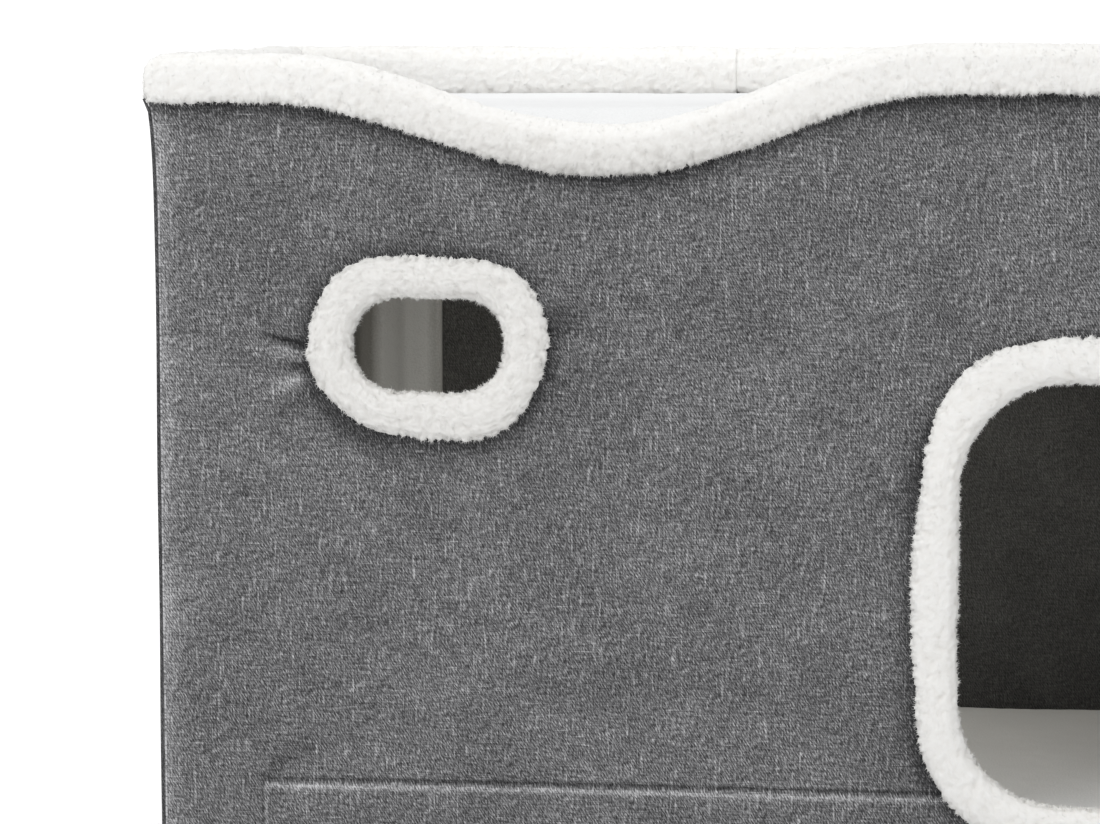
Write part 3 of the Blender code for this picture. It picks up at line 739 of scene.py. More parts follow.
tree, given, out = new_group(
    "pressed_dots",
    [("Place", "Vector", None), ("Spacing", "Float", 0.002)],
    [("Dots", "Float"), ("Fibres", "Float")],
)
per_metre = maths(tree, "DIVIDE", 1.0, given["Spacing"])
cells = node(tree, "TexVoronoi", ("Vector", given["Place"]), ("Scale", per_metre), ("Randomness", DOT_UNEVEN))
dots = ranged(tree, cells["Distance"], *DOT_EDGE)
feed(tree, out, ("Dots", dots), ("Fibres", grains(tree, given["Place"], 1400.0, 3.0)))

NONWOVEN, tree, sockets = principled("nonwoven_floor_cloth", Roughness=0.85, Specular_IOR_Level=0.3)
pressed = use_group(tree, "pressed_dots", ("Place", object_place(tree)), ("Spacing", DOT))
tint = blend(tree, pressed["Fibres"], (0.012, 0.012, 0.013, 1), (0.045, 0.045, 0.048, 1))
finish(tree, sockets, tint, maths(tree, "ADD", pressed["Dots"], pressed["Fibres"]), 0.2 * MM)


def flat_relief(across, up):
    return 0.0 * across, 0.0


def lying(height, facing):
    """A panel that lies flat at that height, with its good side up (1) or down (-1)."""
    return lambda across, up, proud: (facing * across, up, height + facing * proud)


FLOORS = {}
for name, facing, relief, thickness, cloth in (
    ("floor_cloth", -1, flat_relief, 1.2 * MM, NONWOVEN),
    ("floor_lining", 1, lining_relief(31), 0.6 * MM, FLOOR_LINING_CLOTH),
):
    low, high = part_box(name)
    lines = (grid_lines(low.x, high.x, FLOOR_STEP), grid_lines(low.y, high.y, FLOOR_STEP))
    place = lying(high.z if facing > 0 else low.z, facing)
    FLOORS[name] = panel(name + "_sheet", *lines, relief, place, thickness, cloth)
count_faces("floor panels:", FLOORS)

# %% [markdown]
# ## Corded seams
# Where two covers meet, a thin dark cord is sewn into the upright seam. It is a curve with a round
# section, the tool for anything thin and long. Its end comes out from under the sherpa at the front
# left corner, as the photo shows. The tape on it has a fine slanting rib.

# %% Cords
CORD_RADIUS, CORD_PROUD = 0.8 * MM, -0.1 * MM
TIP_OUT, TIP_DROP, TIP_RISE, TIP_START = 2.2 * MM, 1.2 * MM, 3.0 * MM, 0.2
CORD_SWAY, CORD_SWAY_SIZE = 0.12 * MM, 23 * MM

TAPE_LOOK = ((0.016, 0.016, 0.017, 1), (0.30, 0.30, 0.31, 1), 0.5, 0.0)

TAPE, tree, sockets = principled("cord_tape", Roughness=0.8, Sheen_Weight=0.1, Specular_IOR_Level=0.2)
axes = node(tree, "SeparateXYZ", (0, object_place(tree)))
weave_into(tree, sockets, maths(tree, "ADD", axes["X"], axes["Y"]), axes["Z"], TAPE_LOOK, 0.2 * MM)


def corner_cord(name, side, end, tip_out):
    """A cord in an upright seam. tip_out bends its top end sideways."""
    x, y = side * (SIDE + CORD_PROUD), end * (BACK + CORD_PROUD)
    curve = bpy.data.curves.new(name, "CURVE")
    curve.dimensions = "3D"
    curve.bevel_depth, curve.bevel_resolution, curve.use_fill_caps = CORD_RADIUS, 3, True
    heights = np.linspace(BASE, HEM - 3 * TIP_DROP, 60)
    sway = CORD_SWAY * np.sin(heights / CORD_SWAY_SIZE + side + 2 * end)
    points = [(x + side * (shift + flare(up)), y + end * shift, up) for shift, up in zip(sway, heights)]
    x += side * flare(HEM)
    if tip_out:
        points += [(x, y, HEM - 2 * TIP_DROP), (x + side * TIP_START * tip_out, y, HEM - TIP_DROP)]
        points += [(x + side * tip_out, y, HEM + TIP_RISE)]
    else:
        points += [(x, y, HEM + TUCK)]
    spline = curve.splines.new("POLY")
    spline.points.add(len(points) - 1)
    spline.points.foreach_set("co", [value for point in points for value in (*point, 1)])
    curve.materials.append(TAPE)
    return add_object(name, curve)


CORNERS = [
    (f"{end_name}_{side_name}_", side, end)
    for end_name, end in (("front", -1), ("back", 1))
    for side_name, side in (("left", -1), ("right", 1))
]
CORDS = {}
for corner, side, end in CORNERS:
    tip = TIP_OUT if corner == "front_left_" else 0
    CORDS[corner + "piping"] = corner_cord(corner + "cord", side, end, tip)
print("cords:", sorted(CORDS))

# %% [markdown]
# ## Sherpa
# Sherpa is a knit whose pile has curled into small tufts, 4 to 7 mm across, with dark crevices
# between them. Hair particles can't be exported, and a bump map would leave the edges straight, which
# are what says sherpa. So a strip is a fine swept mesh whose points move out by a curl height, with
# fibres on it. The height comes from cell noise: high in a cell's middle, low at its border.

# %% The height of the curls
CURL_SIZE, CURL_HEIGHT, EDGE_CURL, EDGE_REACH = 4.8 * MM, 1.3 * MM, 1.3 * MM, 7 * MM
SWELL_SIZE, SWELL_HEIGHT = 34 * MM, 1.1 * MM
WANDER, WANDER_FINER, CURL_BORDER, CURL_SHARE = 0.55, 0.8, 0.92, 0.72
TUFT_SHARE, TUFT_FINER, STRAND_SHARE, STRAND_FINER = 0.34, 2.3, 0.24, 5.1
# Without a seed of its own, noise_vector takes its offsets from the clock and the curls change each run
noise.seed_set(7)


def curl_heights(points, size):
    """How high the pile stands at each point: about 0 in a crevice and 1 on top of a curl."""
    heights = np.empty(len(points))
    for index, point in enumerate(points / size):
        place = Vector(point)
        place += WANDER * noise.noise_vector(place * WANDER_FINER)
        out = min(noise.voronoi(place)[0][0] / CURL_BORDER, 1)
        curl = CURL_SHARE * math.sqrt(max(0.0, 1 - out**2))
        tuft = TUFT_SHARE * noise.noise(place * TUFT_FINER)
        heights[index] = curl + tuft + STRAND_SHARE * noise.noise(place * STRAND_FINER)
    return heights


def swells(points, size):
    return np.array([noise.noise(Vector(point)) for point in points / size])


# %% Lines, sections and sweeps
FINE = 0.2 * MM


def lengths_along(line):
    """How far along the line each of its points lies."""
    return np.concatenate(([0], np.cumsum(np.linalg.norm(np.diff(line, axis=0), axis=1))))


def even_line(points, step, closed=False):
    """The same line with points at even steps."""
    line = np.asarray(points, float)
    if closed:
        line = np.vstack((line, line[:1]))
    lengths = lengths_along(line)
    stations = np.linspace(0, lengths[-1], max(int(round(lengths[-1] / step)), 4) + 1)
    if closed:
        stations = stations[:-1]
    return np.column_stack([np.interp(stations, lengths, line[:, k]) for k in (0, 1)])


def softened(points, rounding, step):
    """A line through the points with its corners rounded off and its ends kept."""
    line = even_line(points, FINE)
    reach = int(rounding / FINE)
    before = 2 * line[0] - line[reach:0:-1]
    after = 2 * line[-1] - line[-2 : -2 - reach : -1]
    window = np.hanning(2 * reach + 1)
    padded = np.vstack((before, line, after))
    smooth = [np.convolve(padded[:, k], window / window.sum(), mode="valid") for k in (0, 1)]
    return even_line(np.column_stack(smooth), step)


def left_of(line, closed):
    """Unit vectors to the left of the line's heading."""
    ahead = np.roll(line, -1, 0) - np.roll(line, 1, 0) if closed else np.gradient(line, axis=0)
    ahead /= np.linalg.norm(ahead, axis=1)[:, None]
    return np.column_stack((-ahead[:, 1], ahead[:, 0]))


def arc(centre, radius, degrees):
    turns = np.radians(degrees)
    return list(zip(centre[0] + radius * np.cos(turns), centre[1] + radius * np.sin(turns)))


def ring_line(outline, step):
    """A rounded rectangle, clockwise, with points at even steps."""
    (mid_x, mid_z), (width, height), radius = outline
    points = []
    for x_side, z_side, start in ((1, -1, 0), (-1, -1, -90), (-1, 1, -180), (1, 1, -270)):
        centre = (mid_x + x_side * (width / 2 - radius), mid_z + z_side * (height / 2 - radius))
        points += arc(centre, radius, start - np.arange(0, 91, 3))
    return even_line(points, step, closed=True)


# Sections in millimetres, as (away from the edge, outwards). The seen part runs from the outer hem over
# the fold to the inner hem, and the hidden part runs back along the boards.
RIM_SEEN = ((-19.7, 5.9), (-20.0, 7.4), (-14, 8.7), (-7, 8.9), (-1, 8.4), (3.2, 6.6), (5.4, 3.4), (5.8, 0),
            (5.4, -3.4), (3.2, -6.6), (-1, -8.4), (-8, -8.8), (-20, -8.2), (-24.9, -6.6), (-24.7, -4.3))
RIM_HIDDEN = ((-20.4, -4.3), (-20.4, -2.8), (-10, -2.8), (0.3, -2.8), (0.3, 2.8), (-8, 2.8),
              (-15.5, 2.8), (-15.5, 5.9))
RING_SEEN = ((24.0, 5.9), (24.4, 7.0), (20, 9.4), (12, 10.2), (5, 9.2), (1.0, 5.6), (0, 0),
             (1.0, -5.6), (5, -8.4), (11, -8.4), (15.2, -6.2), (15, -4.3))
RING_HIDDEN = ((11.2, -4.3), (11.2, -2.8), (5.2, -2.8), (5.2, 2.8), (12, 2.8), (20.2, 2.8), (20.2, 5.9))
SECTION_SOFT = 2.4 * MM


def section(seen, hidden, cell):
    """A closed section with the number of its points that can be seen, which come first."""
    shown = softened(np.array(seen) * MM, SECTION_SOFT, cell)
    return np.vstack((shown, np.array(hidden) * MM)), len(shown)


# %% [markdown]
# At a corner two strips are cut on the diagonal and sewn together, so the last stretch of each is
# slanted to end there. The curls come from a point's place in the house, so they run on across the
# seam, as long as both sides move along the diagonal and not square to their wall.

# %% Carrying a section along a line
MITRE_REACH, MITRE_BLEND, STEEPEST = 30 * MM, 8 * MM, 0.3
PINCH_FROM, PLUMP_FROM = 8 * MM, 4 * MM


def swept(line, outline, place, half, pinch, plump):
    """Points of a section carried along a line, slanted where a corner's diagonal crosses it at half.

    A line with no half is closed. At each of its points, pinch draws the hems in by so much, and plump
    makes the outer side of a rim so much thicker.
    """
    away = np.broadcast_to(outline[:, 0], (len(line), len(outline)))
    away = away - np.reshape(pinch, (-1, 1)) * np.sign(away) * np.clip(np.abs(away) / PINCH_FROM - 1, 0, 1)
    flat = line[:, None, :] + left_of(line, half is None)[:, None, :] * away[:, :, None]
    along, up = flat[..., 0].copy(), flat[..., 1]
    out = outline[:, 1] + np.reshape(plump, (-1, 1)) * np.clip(outline[:, 1] / PLUMP_FROM - 1, 0, 1)
    out = np.broadcast_to(out, along.shape)
    if half:
        share = np.clip((np.abs(along) - half) / MITRE_REACH + 1, 0, None)
        along += np.sign(along) * share * (out - SEAM)
    return np.stack(place(along, up, out), axis=-1).reshape(-1, 3), along.ravel(), out.ravel()


def numbers_of(collection, title):
    """The points or normals of a mesh, three numbers to a row."""
    values = np.empty(len(collection) * 3)
    collection.foreach_get(title, values)
    return values.reshape(-1, 3)


def move_points(made, points):
    made.data.vertices.foreach_set("co", points.ravel())
    made.data.update()


def outer_normals(made, rows, columns):
    """A tube's own normals, turned outwards, and whether they pointed inwards."""
    points, normals = numbers_of(made.data.vertices, "co"), numbers_of(made.data.vertex_normals, "vector")
    from_middle = points - points.reshape(rows, columns, 3).mean(axis=1).repeat(columns, axis=0)
    turned = (normals * from_middle).sum() < 0
    return (-normals if turned else normals), turned


def along_the_seam(points, normals, close):
    """Turns the normals close to a mitred corner into its diagonal plane."""
    across = np.sign(points) * np.array((1, -1, 0)) / math.sqrt(2)
    level = normals - (normals * across).sum(axis=1)[:, None] * across
    level /= np.maximum((level * normals).sum(axis=1), STEEPEST)[:, None]
    return normals * (1 - close[:, None]) + level * close[:, None]


def close_ends(made, pile=None):
    """Fills a tube's open ends, turns its faces outwards, and joins its pile to it."""
    body = bmesh.new()
    body.from_mesh(made.data)
    bmesh.ops.holes_fill(body, edges=[edge for edge in body.edges if edge.is_boundary], sides=0)
    bmesh.ops.recalc_face_normals(body, faces=body.faces)
    if pile:
        body.from_mesh(pile.data)
        bpy.data.objects.remove(pile)
    body.to_mesh(made.data)
    body.free()
    made.data.shade_smooth()


# %% [markdown]
# Single fibres stick out of the pile. They are closed spikes of four faces, leaning at random, a few
# on the face of the strip and many at its hems, where they break up the edge against the grey cloth.

# %% Fibres
FIBRE_RADIUS, FIBRE_LENGTH, FIBRE_SUNK = 0.26 * MM, 2.3 * MM, 0.5 * MM
FIBRE_LEAN, FIBRE_HANG, SHORTEST = 0.6, (0, 0, 0.2), 0.45
SPARSE, DENSE, HEM_REACH = 0.05, 1.1, 2.6 * MM


def hem_density(columns, seen, from_edge):
    """Fibres per square millimetre for each face round a section: dense where the pile ends."""
    density = SPARSE + (DENSE - SPARSE) * bump_at(from_edge, HEM_REACH)
    return np.where(np.arange(columns) < seen - 1, density, 0)


def unit(vectors, least):
    return vectors / np.maximum(np.linalg.norm(vectors, axis=1), least)[:, None]


def fibres_on(points, quads, per_square_mm, random):
    """Fine spikes on a surface: their points, and their faces counted from 0."""
    corners = points[quads]
    normal = np.cross(corners[:, 2] - corners[:, 0], corners[:, 3] - corners[:, 1])
    expected = np.linalg.norm(normal, axis=1) / 2 / MM**2 * per_square_mm
    normal = unit(normal, 1e-12)
    count = int(expected.sum() / COARSER**2)
    chosen = random.choice(len(quads), size=count, p=expected / expected.sum())
    u, v = random.uniform(0, 1, (2, count, 1))
    c = corners[chosen]
    root = (c[:, 0] * (1 - u) + c[:, 1] * u) * (1 - v) + (c[:, 3] * (1 - u) + c[:, 2] * u) * v
    lean = random.normal(0, 1, (count, 3))
    way = unit(normal[chosen] + FIBRE_LEAN * lean - np.array(FIBRE_HANG), 1e-12)
    side = unit(np.cross(way, lean), 1e-9)
    other = np.cross(way, side)
    tip = root + way * FIBRE_LENGTH * random.uniform(SHORTEST, 1.0, (count, 1))
    low = root - normal[chosen] * FIBRE_SUNK
    turns = arc((0, 0), 1, (0, 120, 240))
    base = [low + FIBRE_RADIUS * (side * cosine + other * sine) for cosine, sine in turns]
    spikes = np.stack((*base, tip), axis=1).reshape(-1, 3)
    faces = np.array(((0, 1, 3), (1, 2, 3), (2, 0, 3), (0, 2, 1)))
    return spikes, (np.arange(count)[:, None, None] * 4 + faces).reshape(-1, 3)


# %% [markdown]
# ## The sherpa's and the plush's colour
# White pile is not one white. The tips catch the light and the roots are a warm grey, which is partly the
# pile's own tone and partly painted shade in the crevices, and the knit yellows a little in patches. One
# group makes that from how deep a point lies, and adds a fine grain for the bump. Sherpa takes the depth
# from its curls, and plush from its folds and bends, where the dark is painted shade. Where a mesh asks
# for it, the pile is painted greyer still, most in its deep parts: painted shade.

# %% The pile group and its materials
# The grey and the depth for painted shade on the pile
SHADE_GREY, SHADE_DEPTH = (0.60, 0.59, 0.57, 1), 1.5
DEEPEST, SHALLOWEST = 0.05, 0.90
GRAIN_SHARE, PATCH_SHARE, PATCH_MIDDLE, PATCHES_PER_METRE = 0.5, 0.35, 0.55, 22.0

tree, given, out = new_group(
    "pile",
    [("Place", "Vector", None), ("Depth", "Float", 1.0), ("Tip", "Color", (0.9, 0.9, 0.9, 1)),
     ("Root", "Color", (0.6, 0.6, 0.6, 1)), ("Grain", "Float", 500.0), ("Worn", "Float", 0.0)],
    [("Color", "Color"), ("Height", "Float")],
)
grain = grains(tree, given["Place"], given["Grain"], 3.0)
patch = grains(tree, given["Place"], PATCHES_PER_METRE, 2.0)
# Deep places take the root colour: partly the pile's own warm grey, partly painted shade in the crevices
shade = ranged(tree, given["Depth"], DEEPEST, SHALLOWEST)
shade = times_plus(tree, maths(tree, "SUBTRACT", grain, 0.5), GRAIN_SHARE, shade)
shade = times_plus(tree, maths(tree, "SUBTRACT", patch, PATCH_MIDDLE), PATCH_SHARE, shade)
colour = blend(tree, shade, given["Root"], given["Tip"])
# Painted shade: greyer where the mesh asks for it, most in its deep parts
painted_shade = maths(tree, "MULTIPLY", given["Worn"], maths(tree, "SUBTRACT", SHADE_DEPTH, given["Depth"]))
feed(tree, out, ("Color", blend(tree, painted_shade, colour, SHADE_GREY)), ("Height", grain))


def piled(name, tip, root, grain, bump, **constants):
    """A white pile. The mesh's own values say how deep a point lies and how much painted shade it gets."""
    made, tree, sockets = principled(name, Roughness=1.0, Specular_IOR_Level=0.05, **constants)
    kept = (("Depth", stored(tree, "curl")), ("Worn", stored(tree, "painted_shade")))
    look = (("Tip", (*tip, 1)), ("Root", (*root, 1)), ("Grain", grain))
    pile = use_group(tree, "pile", ("Place", object_place(tree)), *kept, *look)
    finish(tree, sockets, pile["Color"], pile["Height"], bump)
    return made


SOFT = {"Subsurface_Weight": 0.25, "Subsurface_Radius": (1, 1, 1), "Subsurface_Scale": 2 * MM}
PILES = (
    ("sherpa_pile", (0.95, 0.945, 0.925), (0.88, 0.865, 0.835), 700.0, 0.2 * MM, 0.2, SOFT),
    ("plush_pile", (0.925, 0.935, 0.94), (0.70, 0.70, 0.70), 900.0, 0.35 * MM, 0.3, {}),
    # The corner boards' plush, whose dark root is painted shade
    ("worn_plush_pile", (0.93, 0.94, 0.94), (0.32, 0.315, 0.30), 900.0, 0.35 * MM, 0.3, {}),
)
SHERPA, PLUSH, SHADED_PLUSH = (piled(*look, Sheen_Weight=sheen, **more) for *look, sheen, more in PILES)
print("piles:", SHERPA.name, PLUSH.name, SHADED_PLUSH.name)

# %% [markdown]
# The hems themselves are a row of small round lobes with sharp notches between them, each lobe one
# tuft that hangs over the edge. They get widths of their own, drawn at random from a fixed seed.

# %% A sherpa strip
CORNER_SOFT, CORNER_SOFT_REACH, OUTER_FROM = 0.9 * MM, 6 * MM, 6 * MM
JOINT_SOFT, JOINT_REACH = 0.8 * MM, 3 * MM
MIDDLE_LEVEL = 0.62
LOBE, LOBE_MIDDLE, LOBE_REACH = 2.0 * MM, 0.75, 3.0 * MM
LOBE_WIDTHS, LOBE_SIZES = (2.0 * MM, 5.0 * MM), (0.6, 1.1)


def lobes(line, random):
    """For each point of a line, how far out its tuft hangs, from 0 in a notch to 1 at its middle."""
    station = lengths_along(line)
    ends = np.cumsum(random.uniform(*LOBE_WIDTHS, int(station[-1] / LOBE_WIDTHS[0]) + 2))
    at = np.searchsorted(ends, station)
    starts = np.concatenate(([0], ends))[at]
    share = 2 * (station - starts) / (ends[at] - starts) - 1
    return np.sqrt(np.clip(1 - share**2, 0, 1)) * random.uniform(*LOBE_SIZES, len(ends))[at]


def sherpa_strip(name, line, profile, wall, cell, seed, half=None, joint=None, pinch=0.0, plump=0.0):
    """A folded strip of sherpa along the edge of a wall's board.

    half is where a corner's diagonal crosses it, and joint where it meets the next strip. A strip with
    no half is a ring.
    """
    outline, seen = profile
    rows, columns = len(line), len(outline)
    place = on_wall(wall, BOARD_EDGE[wall])
    points, along, out = swept(line, outline, place, half, pinch, plump)
    quads = grid_quads(rows, columns, half is None, True)
    strip = mesh_object(name + "_sherpa", points, quads)
    normals, turned = outer_normals(strip, rows, columns)
    if turned:
        quads = quads[:, ::-1]

    drop = np.zeros(len(points))
    edges = [0, seen - 1]
    if half:
        past = half - np.abs(along) + out
        normals = along_the_seam(points, normals, near(past, MITRE_BLEND))
        drop = CORNER_SOFT * np.clip(out / OUTER_FROM, 0, 1) * near(past, CORNER_SOFT_REACH) ** 2
    else:
        edges.append(int(np.argmin(outline[:seen, 0])))
    if joint is not None:
        drop = drop + JOINT_SOFT * near(np.abs(along - joint), JOINT_REACH) ** 2

    random = np.random.default_rng(seed)
    shown = np.tile(np.arange(columns) < seen, rows)
    from_edge = [np.abs(np.arange(columns) - edge) * cell for edge in edges]
    closest = np.min(from_edge, axis=0)
    curl = CURL_HEIGHT + EDGE_CURL * bump_at(closest, EDGE_REACH)
    heights = np.zeros(len(points))
    heights[shown] = curl_heights(points[shown], CURL_SIZE)
    lift = np.tile(curl, rows) * (heights - MIDDLE_LEVEL) + SWELL_HEIGHT * swells(points, SWELL_SIZE) - drop
    for distance in from_edge:
        lift += (LOBE * (lobes(line, random) - LOBE_MIDDLE)[:, None] * bump_at(distance, LOBE_REACH)).ravel()
    points = points + normals * np.where(shown, lift, 0)[:, None]
    move_points(strip, points)

    density = np.tile(hem_density(columns, seen, closest), len(quads) // columns)
    spikes, faces = fibres_on(points, quads, density, random)
    close_ends(strip, mesh_object(name + "_pile", spikes, [], faces))
    give_value(strip, "curl", np.concatenate((np.clip(heights, 0, 1), np.ones(len(spikes)))))
    strip.data.materials.append(SHERPA)
    return strip


# %% [markdown]
# ## The rim and the rings
# One section runs round the whole rim and another round the three openings. The front line follows
# the scoops, the others are straight, and the back is in two lengths that meet at a joint, where one
# end is sewn on a little high. Where the rim dips, its outer hem gets painted shade.

# %% The rim
RIM_CELL, FRONT_CELL = 1.25 * MM * COARSER, 0.9 * MM * COARSER
PLUMP, CORNER_PLUMP, PLUMP_FADE, RAISED = 3.6 * MM, 1.5 * MM, 45 * MM, 0.5 * MM
END_LIFT, END_LIFT_REACH = 2.2 * MM, 18 * MM
# How much painted shade the front rim's outer hem gets where it dips
SCOOP_SHADE = 0.8
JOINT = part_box("rim_back_left")[1].x

rim_section = section(RIM_SEEN, RIM_HIDDEN, RIM_CELL)
STRIPS = {}
for name, wall, start, end, half, joint, seed in (
    ("rim_front", "front", -BOARD_X, BOARD_X, BOARD_X, None, 41),
    ("rim_back_left", "back", -JOINT, BOARD_X, BOARD_X, -JOINT, 42),
    ("rim_back_right", "back", -BOARD_X, -JOINT, BOARD_X, -JOINT, 43),
    ("rim_left", "left", -BOARD_Y, BOARD_Y, BOARD_Y, None, 44),
    ("rim_right", "right", -BOARD_Y, BOARD_Y, BOARD_Y, None, 45),
):
    pinch, plump = 0.0, CORNER_PLUMP
    if name == "rim_front":
        across = np.linspace(start, end, 1500)
        top = front_rim(across) - SHOULDER + BOARD_TOP + RAISED
        line = even_line(np.column_stack((across, top)), FRONT_CELL)
        from_corner = np.clip((half - np.abs(line[:, 0])) / PLUMP_FADE, 0, 1)
        plump = CORNER_PLUMP + (PLUMP - CORNER_PLUMP) * from_corner
    else:
        line = even_line([(start, BOARD_TOP), (end, BOARD_TOP)], RIM_CELL)
    if name == "rim_back_right":
        pinch = END_LIFT * near(np.abs(line[:, 0] - joint), END_LIFT_REACH)
    STRIPS[name] = sherpa_strip(name, line, rim_section, wall, RIM_CELL, seed, half, joint, pinch, plump)

across, _, up = numbers_of(STRIPS["rim_front"].data.vertices, "co").T
below = np.clip((front_rim(across) - up) / (SHOULDER - HEM), 0, 1)
dipped = np.clip((SHOULDER - front_rim(across)) / (SHOULDER - SCOOP_LOW), 0, 1)
give_value(STRIPS["rim_front"], "painted_shade", SCOOP_SHADE * below**1.5 * dipped)

# %% [markdown]
# The rings aren't even: they were eased round the holes by hand, and the band is narrower at the
# rounded corners. A few pinches, each at its own angle, make it so. A window's ring is small and seen
# up close, so its mesh is finer.

# %% The rings
ENTRANCE_CELL, WINDOW_CELL = 1.0 * MM * COARSER, 0.65 * MM * COARSER
# Painted shade that makes the windows' rings greyer
WINDOW_RING_SHADE = 0.30
# Pinches of a ring's band: the angle in degrees, how much narrower it is in millimetres, and how wide
# the pinch is in degrees. The entrance's are for its left half, and its right half mirrors them.
WINDOW_PINCHES = ((60, 3.2, 18), (90, 2.2, 18), (120, 2.4, 18), (165, 1.2, 18), (212, 4.0, 18),
                  (240, 2.0, 18), (345, 2.2, 18))
ENTRANCE_PINCHES = ((129, -3.5, 13), (146, 4.8, 13), (212, 3.0, 10))


def pinched(line, outline, mirror, pinches):
    """How much narrower the band is at each point of a ring's line."""
    across, up = line[:, 0] - outline[0][0], line[:, 1] - outline[0][1]
    angle = np.degrees(np.arctan2(up, mirror * across if mirror else -np.abs(across))) % 360
    return sum(much * MM * bump_at((angle - at + 180) % 360 - 180, width) for at, much, width in pinches)


for name, outline, cell, mirror, pinches, seed in (
    ("entrance_ring", ENTRANCE, ENTRANCE_CELL, 0, ENTRANCE_PINCHES, 46),
    ("left_window_ring", LEFT_WINDOW, WINDOW_CELL, 1, WINDOW_PINCHES, 47),
    ("right_window_ring", RIGHT_WINDOW, WINDOW_CELL, -1, WINDOW_PINCHES, 48),
):
    line = ring_line(outline, cell)
    profile = section(RING_SEEN, RING_HIDDEN, cell)
    pinch = pinched(line, outline, mirror, pinches)
    STRIPS[name] = sherpa_strip(name, line, profile, "front", cell, seed, pinch=pinch)
    if mirror:
        give_value(STRIPS[name], "painted_shade", WINDOW_RING_SHADE)
count_faces("strips:", STRIPS)

# %% [markdown]
# ## Padded corner boards
# Four boards in white plush line the corners and carry the decks. Each is a rounded L swept upwards,
# with soft folds that barely change on the way up, which is what tells cloth hung over a board from the
# board itself. Its creases and its bend get painted shade, and the pile is darker near its free upright edge.

# %% Corner boards
CORNER_CELL, CORNER_STEP, PAD, FILLET, PAD_SOFT = 3.2 * MM, 6 * MM, 10 * MM, 30 * MM, 2.5 * MM
FOLD, FOLD_SIZE, FOLD_MIDDLE, UPWARDS = 1.2 * MM, 34 * MM, 0.5, 0.12
SLOW_SHARE, SLOW_SIZE, FLAT_BY_WALL = 0.35, 90 * MM, 14 * MM
# A crease's depth and width, and the painted shade in it
CREASE, CREASE_WIDTH, CREASE_SHADE = 6.0 * MM, 6.5 * MM, 0.4
FAINT_CREASE, FAINT_BEFORE, FAINT_WIDTH = 0.15, 28 * MM, 2.5 * MM
# The bend's painted shade starts so far before the bend, grows to full over so far and stays on along the
# side leg
BEND_BEFORE, BEND_OVER = 15.5 * MM, 10.5 * MM
EDGE_DARK, EDGE_DARK_REACH = 0.65, 10 * MM


def corner_board(node_name, x_side, y_side, seed):
    """A plush-covered corner board, as a closed prism with folds in its seen side."""
    low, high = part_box(node_name)
    leg_x, leg_y = high.x - low.x, high.y - low.y
    corner = (max(abs(low.x), abs(high.x)), max(abs(low.y), abs(high.y)))
    bend = arc((PAD + FILLET, PAD + FILLET), FILLET, np.linspace(270, 180, 8))
    seen = [(leg_x, 0.0), (leg_x, PAD), *bend, (PAD, leg_y), (0.0, leg_y)]
    shown = softened(seen, PAD_SOFT, CORNER_CELL * COARSER)
    outline = np.vstack((shown, [(0.0, leg_y / 2), (0.0, 0.0), (leg_x / 2, 0.0)]))
    heights = grid_lines(low.z, high.z, CORNER_STEP)
    rows, columns = len(heights), len(outline)
    station = lengths_along(shown)
    bend_start = leg_x - FILLET
    bend_end = bend_start + FILLET * math.pi / 2

    folds = waves(*np.meshgrid(station, heights * UPWARDS), FOLD_SIZE, seed)
    folds += SLOW_SHARE * waves(*np.meshgrid(station, heights), SLOW_SIZE, seed + 1)
    by_wall = np.clip(np.minimum(station, station[-1] - station) / FLAT_BY_WALL, 0, 1)
    creases = bump_at(station - bend_start, CREASE_WIDTH) + bump_at(station - bend_end, CREASE_WIDTH)
    creases += FAINT_CREASE * bump_at(station - bend_start + FAINT_BEFORE, FAINT_WIDTH)
    away = np.zeros((rows, columns))
    away[:, : len(shown)] = (FOLD * (folds - FOLD_MIDDLE) - CREASE * creases) * by_wall
    inward = np.vstack((left_of(shown, False), np.zeros((3, 2))))
    a, b = (outline[:, k] + away * inward[:, k] for k in (0, 1))
    up = np.broadcast_to(heights[:, None], a.shape)
    points = np.stack((x_side * (corner[0] - a), y_side * (corner[1] - b), up), axis=-1).reshape(-1, 3)

    made = mesh_object(node_name + "_plush", points, grid_quads(rows, columns, False, True))
    close_ends(made)
    depth = np.ones((rows, columns))
    # Painted shade in the creases and from the bend on; darker also near the free upright edge
    depth[:, : len(shown)] -= CREASE_SHADE * creases + EDGE_DARK * near(station - PAD, EDGE_DARK_REACH)
    depth[:, : len(shown)] -= np.clip((station - bend_start + BEND_BEFORE) / BEND_OVER, 0, 1)
    give_value(made, "curl", depth.ravel())
    made.data.materials.append(SHADED_PLUSH)
    return made


CORNER_BOARDS = {}
for corner, side, end in CORNERS:
    node_name = corner + "corner_board"
    CORNER_BOARDS[node_name] = corner_board(node_name, side, end, 52 + 2 * end + side)
count_faces("corner boards:", CORNER_BOARDS)

# %% [markdown]
# ## Cushions
# A cushion gets its shape from what fills it. Modelled by hand, its crown, pulled-in sides and soft
# corners are guesses, and a cloth simulation finds them: voxel remesh makes a rounded block an even
# net, pressure blows it up without gravity, and a cap keeps any point from moving too far. The seam is
# pressed in afterwards, with the small puckers it makes.

